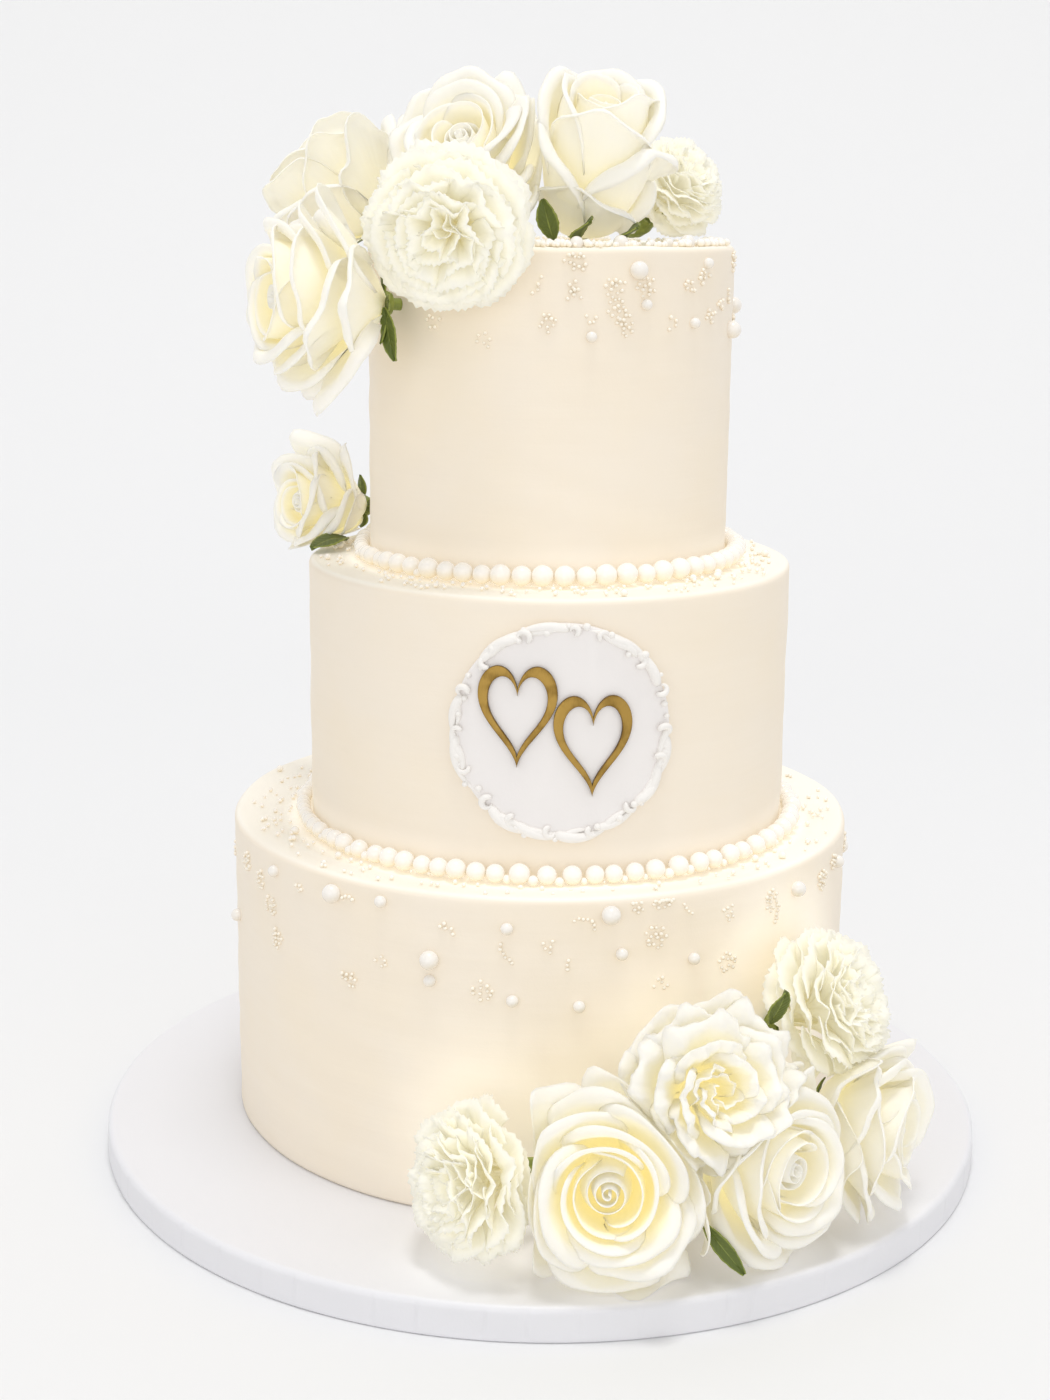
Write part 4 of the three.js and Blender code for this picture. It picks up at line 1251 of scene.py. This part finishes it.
def paper_finish(settings):
    finish = Finish("board_paper", IOR=1.45, Emission_Strength=1.0)
    # Painted light: the paper glows where the flowers shade it.
    finish.glow(finish.blend(finish.mark("beside"), BLACK, opaque(settings.paper_light)))
    fibres = finish.noise(1.1, 4.0)
    sheen = finish.noise(60, 2.0)
    finish.colour(finish.blend(sheen, opaque(settings.paper), shade(settings.paper, 0.975)))
    finish.rough(0.34 + 0.14 * fibres)
    finish.relief(fibres, 0.05)
    return finish.material


def pearl_finish(name, colour, warm, glow):
    # Painted light: the balls glow faintly to lift their shade.
    finish = Finish(
        name, IOR=1.5, Coat_Weight=0.5, Coat_Roughness=0.14, Emission_Color=opaque(glow),
        Emission_Strength=1.0,
    )
    cloud = finish.noise(3.0, 2.0)
    # Painted shade: the lower side of each ball takes the darker, warmer colour of its shade and of light
    # bounced off the icing.
    share = finish.mark("low").between(0.25, 1.0) + (cloud - 0.5) * 0.3
    finish.colour(finish.blend(share, opaque(colour), opaque(warm)))
    finish.rough(0.2 + 0.1 * cloud)
    finish.relief(finish.noise(0.7, 2.0), 0.03)
    return finish.material


def cloudy_finish(name, colour, cloud_size, darker, rough, relief):
    """Plain icing with soft clouds; rough is least and span, relief is size, detail and depth."""
    finish = Finish(name, IOR=1.45)
    cloud = finish.noise(cloud_size, 3.0)
    finish.colour(finish.blend(cloud, opaque(colour), shade(colour, darker)))
    finish.rough(rough[0] + rough[1] * cloud)
    size, detail, depth = relief
    finish.relief(finish.noise(size, detail), depth)
    return finish.material


def gold_finish(settings):
    finish = Finish("brushed_gold", Metallic=1.0)
    brush = finish.noise(0.35, 3.0, (1.0, 1.0, 0.22))
    patch = finish.noise(7.0, 2.0).between(0.35, 0.68)
    edge = finish.mark("edge")
    dark = (patch * 0.45 + edge * 0.55 + (brush - 0.5) * 0.4).between(0.0, 1.0)
    finish.colour(finish.blend(dark, opaque(settings.gold), opaque(settings.gold_dark)))
    finish.rough(0.34 + 0.16 * brush)
    finish.relief(brush, 0.05)
    return finish.material


def petal_finish(name, settings, petal, glow_share, deep_share):
    finish = Finish(
        name, IOR=1.42, Subsurface_Weight=0.35, Subsurface_Scale=0.006,
        Subsurface_Radius=(1.0, 0.9, 0.6), Emission_Strength=glow_share,
    )
    ripe = finish.mark("ripe")
    outer = finish.mark("outer")
    across = finish.mark("across")
    # Partly the petals' own yellow base and partly painted shade: the colour turns to the throat's low on
    # the petals and deep in the flower.
    deep = 1 - (ripe + outer * 0.24).between(0.36, 0.95)
    blush = finish.noise(9.0, 2.0)
    throat = finish.blend(outer, opaque(settings.throat), opaque(settings.throat_outer))
    finish.colour(finish.blend(deep + (blush - 0.5) * 0.16, opaque(petal), throat))
    # Painted light: the petals glow, most low on them and deep in the flower, in place of light shining
    # through them.
    finish.glow(finish.blend(deep, opaque(settings.glow), shade(settings.glow_deep, deep_share)))
    finish.rough(0.5 + 0.1 * blush)
    veins = (across * 46 + blush * 3).wave() * (1 - abs(across) * 0.4)
    finish.relief(veins * 0.5 + finish.noise(0.5, 2.0) * 0.5, 0.035)
    return finish.material


def leaf_finish(settings):
    finish = Finish("fresh_leaf", IOR=1.45)
    across = finish.mark("across")
    ripe = finish.mark("ripe")
    mottle = finish.noise(2.6, 3.0)
    # The midribs are lighter in colour; the lighter rims are a painted highlight.
    rim = abs(across).between(0.72, 1.0)
    rib = 1 - abs(across).between(0.02, 0.14)
    light = (rim * 0.8 + rib * 0.6 + (mottle - 0.5) * 0.9).between(0.0, 1.0)
    finish.colour(finish.blend(light, opaque(settings.leaf), opaque(settings.leaf_rib_and_highlight)))
    finish.rough(0.38 + 0.16 * mottle)
    veins = (ripe * 60 - abs(across) * 14).wave()
    finish.relief(veins * 0.4 + mottle * 0.6, 0.12)
    return finish.material


def pale_finish(name, floor, wall):
    finish = Finish(name, IOR=1.3)
    haze = finish.noise(400, 2.0)
    rise = finish.mark("rise")
    finish.colour(finish.blend(rise + (haze - 0.5) * 0.1, opaque(floor), opaque(wall)))
    finish.rough(0.75 + 0.05 * haze)
    return finish.material


def tint(name, colour, about):
    return FloatVectorProperty(
        name=name, description=about, default=colour, size=3, min=0, max=1, subtype="COLOR"
    )


def length(name, millimetres, about):
    return FloatProperty(name=name, description=about, default=millimetres * MM, min=0, unit="LENGTH")


def amount(name, value, about):
    return FloatProperty(name=name, description=about, default=value, min=0)


class CakeIcing(bpy.types.PropertyGroup):
    icing: tint("Icing", (0.875, 0.795, 0.685), "Colour of the ivory icing")
    icing_warm: tint("Warm icing", (0.88, 0.785, 0.645), "Colour of the icing where it is thicker")
    # Painted top light: the tiers' tops are given this lighter colour than the sides.
    icing_top: tint("Icing on top", (0.93, 0.885, 0.80), "Colour of the icing on the tiers' tops")
    # Painted light: glows that lift the icing's shade, on the sides, on the tops, and beside flowers and
    # borders.
    icing_painted_glow: tint("Icing glow", (0.05, 0.041, 0.026), "Light that passes through the icing")
    top_painted_glow: tint("Top glow", (0.072, 0.069, 0.057), "Light held between the pearls on the tiers' tops")
    flower_light: tint("Flower light", (0.34, 0.33, 0.30), "Light that petals and borders throw on icing")
    paper: tint("Board paper", (0.81, 0.805, 0.83), "Colour of the paper round the board")
    # Painted light: the board's paper glows beside the flowers to lift their shade on it.
    paper_light: tint("Paper light", (0.36, 0.36, 0.38), "Light the pale petals throw on the board")
    rim: length("Rim", 2.6, "Radius of the soft edge at a tier's top")
    pleats: IntProperty(
        name="Pleats", description="Folds in the paper on the board's side", default=54, min=8
    )
    pleat_depth: length("Pleat depth", 0.22, "Depth of the folds in the board's paper")


class CakeSugar(bpy.types.PropertyGroup):
    pearl: tint("Pearl", (0.96, 0.93, 0.89), "Colour of the sugar pearls from above")
    # Painted shade: the balls' lower sides take darker, warmer colours, here and in the shades of the side
    # pearls and nonpareils below.
    pearl_warm_shade: tint("Warm pearl", (0.93, 0.83, 0.64), "Colour of the sugar pearls towards the icing")
    # Painted light: a faint glow that lifts the pearls' shade.
    pearl_painted_glow: tint("Pearl glow", (0.06, 0.048, 0.028), "Light that passes from pearl to pearl")
    round_pearl: tint("Round pearl", (0.88, 0.85, 0.81), "Colour of the pearls on the sides")
    round_shade: tint("Round pearl's shade", (0.82, 0.745, 0.63), "Colour of those pearls from below")
    nonpareil: tint("Nonpareil", (0.95, 0.90, 0.80), "Colour of the smallest sugar balls")
    nonpareil_shade: tint("Nonpareil's shade", (0.82, 0.71, 0.54), "Colour of those balls from below")
    fondant: tint("Fondant", (0.895, 0.86, 0.838), "Colour of the plaque")
    piping: tint("Piping", (0.93, 0.90, 0.86), "Colour of the piped scrolls")
    gold: tint("Gold", (0.46, 0.29, 0.075), "Colour of the gold hearts")
    gold_dark: tint("Dark gold", (0.17, 0.095, 0.02), "Colour at the edges of the gold hearts")
    ball: length("Nonpareil size", 1.45, "Diameter of the smallest sugar balls")
    rope: length("Piping size", 1.6, "Half width of a piped stroke")
    bevel: length("Heart edge", 0.16, "Softened edge of the gold hearts")


class CakeFlowers(bpy.types.PropertyGroup):
    petal: tint("Petal", (0.965, 0.94, 0.86), "Colour of the petals' rims")
    carnation: tint("Carnation petal", (0.97, 0.945, 0.82), "Colour of the carnations' rims")
    # Partly the petals' own yellow base and partly painted shade deep in the folds.
    throat: tint("Throat", (0.94, 0.882, 0.63), "Colour deep between the inner petals")
    throat_outer: tint("Outer throat", (0.96, 0.94, 0.84), "Colour low on the outer petals")
    # Painted light: glows that stand in for light shining through the petals and lift their shade; the
    # carnations glow more.
    glow: tint("Glow", (0.06, 0.057, 0.045), "Light that shines through the petals' rims")
    glow_deep: tint("Deep glow", (0.185, 0.162, 0.085), "Light that shines through low on the petals")
    carnation_glow: amount("Carnation glow", 1.6, "How much more the carnations glow")
    carnation_deep: amount("Carnation depth", 0.38, "Share of the deep glow in the carnations")
    # The leaves' own dark green, set darker for the shade they stand in; the edges carry a painted
    # highlight and the ribs their own lighter green.
    leaf: tint("Leaf", (0.105, 0.14, 0.02), "Colour of the leaves")
    leaf_rib_and_highlight: tint("Leaf edge", (0.31, 0.36, 0.075), "Colour of the leaves' edges and ribs")


class CakeStudio(bpy.types.PropertyGroup):
    floor: tint("Floor", (0.83, 0.83, 0.835), "Colour of the floor")
    wall: tint("Wall", (0.885, 0.885, 0.885), "Colour of the wall behind")
    sky: amount("Sky", 0.755, "Strength of the white light all round")
    key: amount("Key", 2.2, "Power of the soft light at the front right")
    front: amount("Front", 7.4, "Power of the low light in front")
    top: amount("Top", 70.0, "Power of the soft light above")


SETTINGS = {
    "cake_icing": CakeIcing,
    "cake_sugar": CakeSugar,
    "cake_flowers": CakeFlowers,
    "cake_studio": CakeStudio,
}


class CAKE_OT_board(bpy.types.Operator):
    """Lay the paper-covered board"""

    bl_idname = "cake.board"
    bl_label = "Board"

    def execute(self, context):
        settings = context.scene.cake_icing
        batch = Batch()
        points, faces = board_body(settings.pleats, settings.pleat_depth / MM)
        on_top = smooth_step(points[:, 2], BOARD["height"] - 1.2, BOARD["height"])
        # Painted light beside the flowers, on the board's top.
        light = beside_flowers(points, share=0.75, reach=13)
        batch.add(points, faces, beside=light * on_top)
        lay_piece("cake_board", batch, paper_finish(settings), ["board"])
        return {"FINISHED"}


class CAKE_OT_tiers(bpy.types.Operator):
    """Stack and ice the three tiers"""

    bl_idname = "cake.tiers"
    bl_label = "Iced tiers"

    def execute(self, context):
        settings = context.scene.cake_icing
        icing = icing_finish(settings)
        for tier in TIERS:
            batch = Batch()
            points, faces = tier_body(tier, settings.rim / MM)
            # Where the glow of the flowers and the pearl borders, and the top light, are painted on the
            # icing.
            light = beside_flowers(points, share=0.8, reach=22)
            light = np.maximum(light, beside_border(points, tier))
            batch.add(points, faces, crown=crown_of(points, tier), beside=light)
            lay_piece("icing_" + tier["name"], batch, icing, ["tier_" + tier["name"]])
        return {"FINISHED"}


class CAKE_OT_pearls(bpy.types.Operator):
    """Press pearls and nonpareils into the icing"""

    bl_idname = "cake.pearls"
    bl_label = "Pearls and nonpareils"

    def execute(self, context):
        settings = context.scene.cake_sugar
        # Painted light: a dimmer glow for the side pearls and the cream nonpareils.
        dim = shade(settings.pearl_painted_glow, 0.6)
        round_pearl = pearl_finish("sugar_pearl", settings.round_pearl, settings.round_shade, dim)
        white = pearl_finish("white_nonpareil", settings.pearl, settings.pearl_warm_shade, settings.pearl_painted_glow)
        cream = pearl_finish("cream_nonpareil", settings.nonpareil, settings.nonpareil_shade, dim)
        small = settings.ball / MM
        sides = ["tier_bottom", "tier_top"]
        lay_balls("side_pearls", pearl_spots(), 4, round_pearl, sides)
        lay_balls("nonpareils_on_sides", cluster_spots(small), 2, cream, sides)
        strewn = [ball for ledge in LEDGES for ball in ledge_spots(*ledge, small)] + rim_spots(small)
        nodes = ["tier_bottom", "tier_middle", "tier_top"]
        lay_balls("nonpareils_on_ledges", strewn, 2, white, nodes)
        return {"FINISHED"}


class CAKE_OT_borders(bpy.types.Operator):
    """Lay the pearl borders round the feet of the upper tiers"""

    bl_idname = "cake.borders"
    bl_label = "Pearl borders"

    def execute(self, context):
        settings = context.scene.cake_sugar
        finish = pearl_finish("border_pearl", settings.pearl, settings.pearl_warm_shade, settings.pearl_painted_glow)
        for border in BORDERS:
            nodes = ["pearl_border_" + border["name"]]
            lay_balls("border_pearls_" + border["name"], border_spots(border), 3, finish, nodes)
        return {"FINISHED"}


class CAKE_OT_plaque(bpy.types.Operator):
    """Set the fondant plaque and pipe its scrolls"""

    bl_idname = "cake.plaque"
    bl_label = "Plaque"

    def execute(self, context):
        settings = context.scene.cake_sugar
        disc = Batch()
        disc.add(*plaque_body())
        smooth = cloudy_finish(
            "plaque_fondant", settings.fondant, 14, 0.97, rough=(0.5, 0.1), relief=(0.8, 3.0, 0.04)
        )
        lay_piece("fondant_plaque", disc, smooth, ["plaque"])
        scrolls = Batch()
        pipe_scrolls(scrolls, settings.rope / MM)
        piped = cloudy_finish(
            "piped_icing", settings.piping, 2.4, 0.96, rough=(0.42, 0.14), relief=(0.6, 2.0, 0.05)
        )
        lay_piece("piped_scrolls", scrolls, piped, ["plaque_border"])
        return {"FINISHED"}


class CAKE_OT_hearts(bpy.types.Operator):
    """Place the two gold hearts on the plaque"""

    bl_idname = "cake.hearts"
    bl_label = "Gold hearts"

    def execute(self, context):
        settings = context.scene.cake_sugar
        gold = gold_finish(settings)
        for name, across, up in HEARTS:
            points, faces, edge = heart_body(across, up, settings.bevel / MM)
            batch = Batch()
            batch.add(points, faces, edge=edge)
            lay_piece("brushed_" + name, batch, gold, [name])
        return {"FINISHED"}


class CAKE_OT_flowers(bpy.types.Operator):
    """Arrange the roses and carnations, each petal on its own"""

    bl_idname = "cake.flowers"
    bl_label = "Roses and carnations"

    def execute(self, context):
        settings = context.scene.cake_flowers
        rose = petal_finish("rose_petal", settings, settings.petal, 1.0, 1.0)
        carnation = petal_finish(
            "carnation_petal", settings, settings.carnation, settings.carnation_glow,
            settings.carnation_deep,
        )
        leaf = leaf_finish(settings)
        for seed, (name, flower) in enumerate(FLOWERS.items(), start=SEEDS["flowers"]):
            bloom = Batch()
            if flower.kind == "carnation":
                finish = carnation
                carnation_petals(bloom, name, seed)
            else:
                finish = rose
                rose_petals(bloom, name, seed)
                if flower.kind != "ruffled":
                    rose_heart(bloom, name, seed)
            lay_piece("petals_" + name, bloom, finish, [name])
            green = Batch()
            add_green(green, name, seed)
            lay_piece("stem_" + name, green, leaf, [name])
        return {"FINISHED"}


class CAKE_OT_leaves(bpy.types.Operator):
    """Tuck the leaves in between the flowers"""

    bl_idname = "cake.leaves"
    bl_label = "Leaves"

    def execute(self, context):
        leaf = leaf_finish(context.scene.cake_flowers)
        for seed, name in enumerate(LEAVES):
            batch = Batch()
            add_leaf(batch, name, seed)
            lay_piece("blade_" + name, batch, leaf, [name])
        return {"FINISHED"}


class CAKE_OT_studio(bpy.types.Operator):
    """Set up the pale floor, the soft lights and the camera"""

    bl_idname = "cake.studio"
    bl_label = "Studio"

    def execute(self, context):
        scene = context.scene
        settings = scene.cake_studio
        add_backdrop(settings)
        add_lights(scene, settings)
        add_camera(scene)
        scene.view_settings.view_transform = "Standard"
        return {"FINISHED"}


def add_backdrop(settings):
    """A floor that curves up into a wall behind the cake."""
    half, front, wall, bend, high = 4.0, -3.0, 1.6, 0.8, 4.0
    line = [(front, 0.0)] + lower_edge(wall, bend, 16) + [(wall, high)]
    points = [(side * half, along, up) for along, up in line for side in (-1, 1)]
    faces = grid_faces(len(line), 2).tolist()
    mesh = bpy.data.meshes.new("backdrop")
    mesh.from_pydata(points, [], faces)
    rise = mesh.attributes.new("rise", "FLOAT", "POINT")
    rise.data.foreach_set("value", [min(up / bend, 1.0) for _, _, up in points])
    mesh.materials.append(pale_finish("pale_backdrop", settings.floor, settings.wall))
    mesh.polygons.foreach_set("use_smooth", [True] * len(mesh.polygons))
    backdrop = bpy.data.objects.new("backdrop", mesh)
    bpy.context.scene.collection.objects.link(backdrop)


# Lamps of the stage: place and width in metres. All look at the same point.
LAMPS = {
    "key": ((1.1, -1.5, 1.0), 1.6),
    "front": ((-0.5, -2.2, 0.35), 1.8),
    "top": ((0.1, -0.5, 5.0), 1.2),
}
LAMP_AIM = np.array([0.0, 0.0, 0.2])
# The camera: place in metres, lens in millimetres, and its turn, look down and roll in radians.
CAMERA = {"place": (0, -0.80886, 0.37686), "lens": 53.44, "turn": 0.0099, "down": 0.2378, "roll": 0.0104}


def add_lights(scene, settings):
    """Even white light all round, with three large soft lights."""
    world = bpy.data.worlds.new("studio_sky")
    world.use_nodes = True
    sky = world.node_tree.nodes["Background"]
    sky.inputs["Color"].default_value = (1.0, 1.0, 1.0, 1.0)
    sky.inputs["Strength"].default_value = settings.sky
    scene.world = world
    for group, (spot, size) in LAMPS.items():
        name = group + "_light"
        data = bpy.data.lights.new(name, "AREA")
        data.shape = "DISK"
        data.size = size
        data.energy = getattr(settings, group)
        lamp = bpy.data.objects.new(name, data)
        towards = Matrix(facing_matrix(LAMP_AIM - np.array(spot)))
        lamp.matrix_world = Matrix.Translation(spot) @ towards.to_4x4()
        scene.collection.objects.link(lamp)


def facing_matrix(direction):
    """A rotation whose -Z axis looks along a direction."""
    back = -direction / np.linalg.norm(direction)
    helper = np.array([0, 1.0, 0]) if abs(back[2]) > 0.95 else np.array([0, 0, 1.0])
    right = np.cross(helper, back)
    right /= np.linalg.norm(right)
    return np.stack([right, np.cross(back, right), back], axis=1).tolist()


def add_camera(scene):
    """The camera in front of the cake and a little above its middle, looking down."""
    data = bpy.data.cameras.new("camera")
    data.lens = CAMERA["lens"]
    camera = bpy.data.objects.new("camera", data)
    turn = Matrix.Rotation(CAMERA["turn"], 4, "Z")
    down = Matrix.Rotation(math.pi / 2 - CAMERA["down"], 4, "X")
    roll = Matrix.Rotation(CAMERA["roll"], 4, "Z")
    camera.matrix_world = Matrix.Translation(CAMERA["place"]) @ turn @ down @ roll
    scene.collection.objects.link(camera)
    scene.camera = camera


class CAKE_PT_panel(bpy.types.Panel):
    """Buttons for every group of the cake"""

    bl_idname = "CAKE_PT_panel"
    bl_label = "Tiered cake"
    bl_space_type = "VIEW_3D"
    bl_region_type = "UI"
    bl_category = "Cake"

    def draw(self, context):
        for group in SETTINGS:
            box = self.layout.box()
            settings = getattr(context.scene, group)
            for prop in settings.bl_rna.properties:
                if prop.identifier not in ("rna_type", "name"):
                    box.prop(settings, prop.identifier)
        for operator in OPERATORS:
            self.layout.operator(operator.bl_idname)


OPERATORS = (
    CAKE_OT_studio, CAKE_OT_board, CAKE_OT_tiers, CAKE_OT_pearls, CAKE_OT_borders, CAKE_OT_plaque,
    CAKE_OT_hearts, CAKE_OT_flowers, CAKE_OT_leaves,
)
CLASSES = tuple(SETTINGS.values()) + OPERATORS + (CAKE_PT_panel,)


def register():
    for made in CLASSES:
        bpy.utils.register_class(made)
    for name, group in SETTINGS.items():
        setattr(bpy.types.Scene, name, PointerProperty(type=group))


def unregister():
    for name in SETTINGS:
        delattr(bpy.types.Scene, name)
    for made in reversed(CLASSES):
        bpy.utils.unregister_class(made)


def main():
    register()
    for operator in OPERATORS:
        group, name = operator.bl_idname.split(".")
        getattr(getattr(bpy.ops, group), name)()


if __name__ == "__main__":
    main()
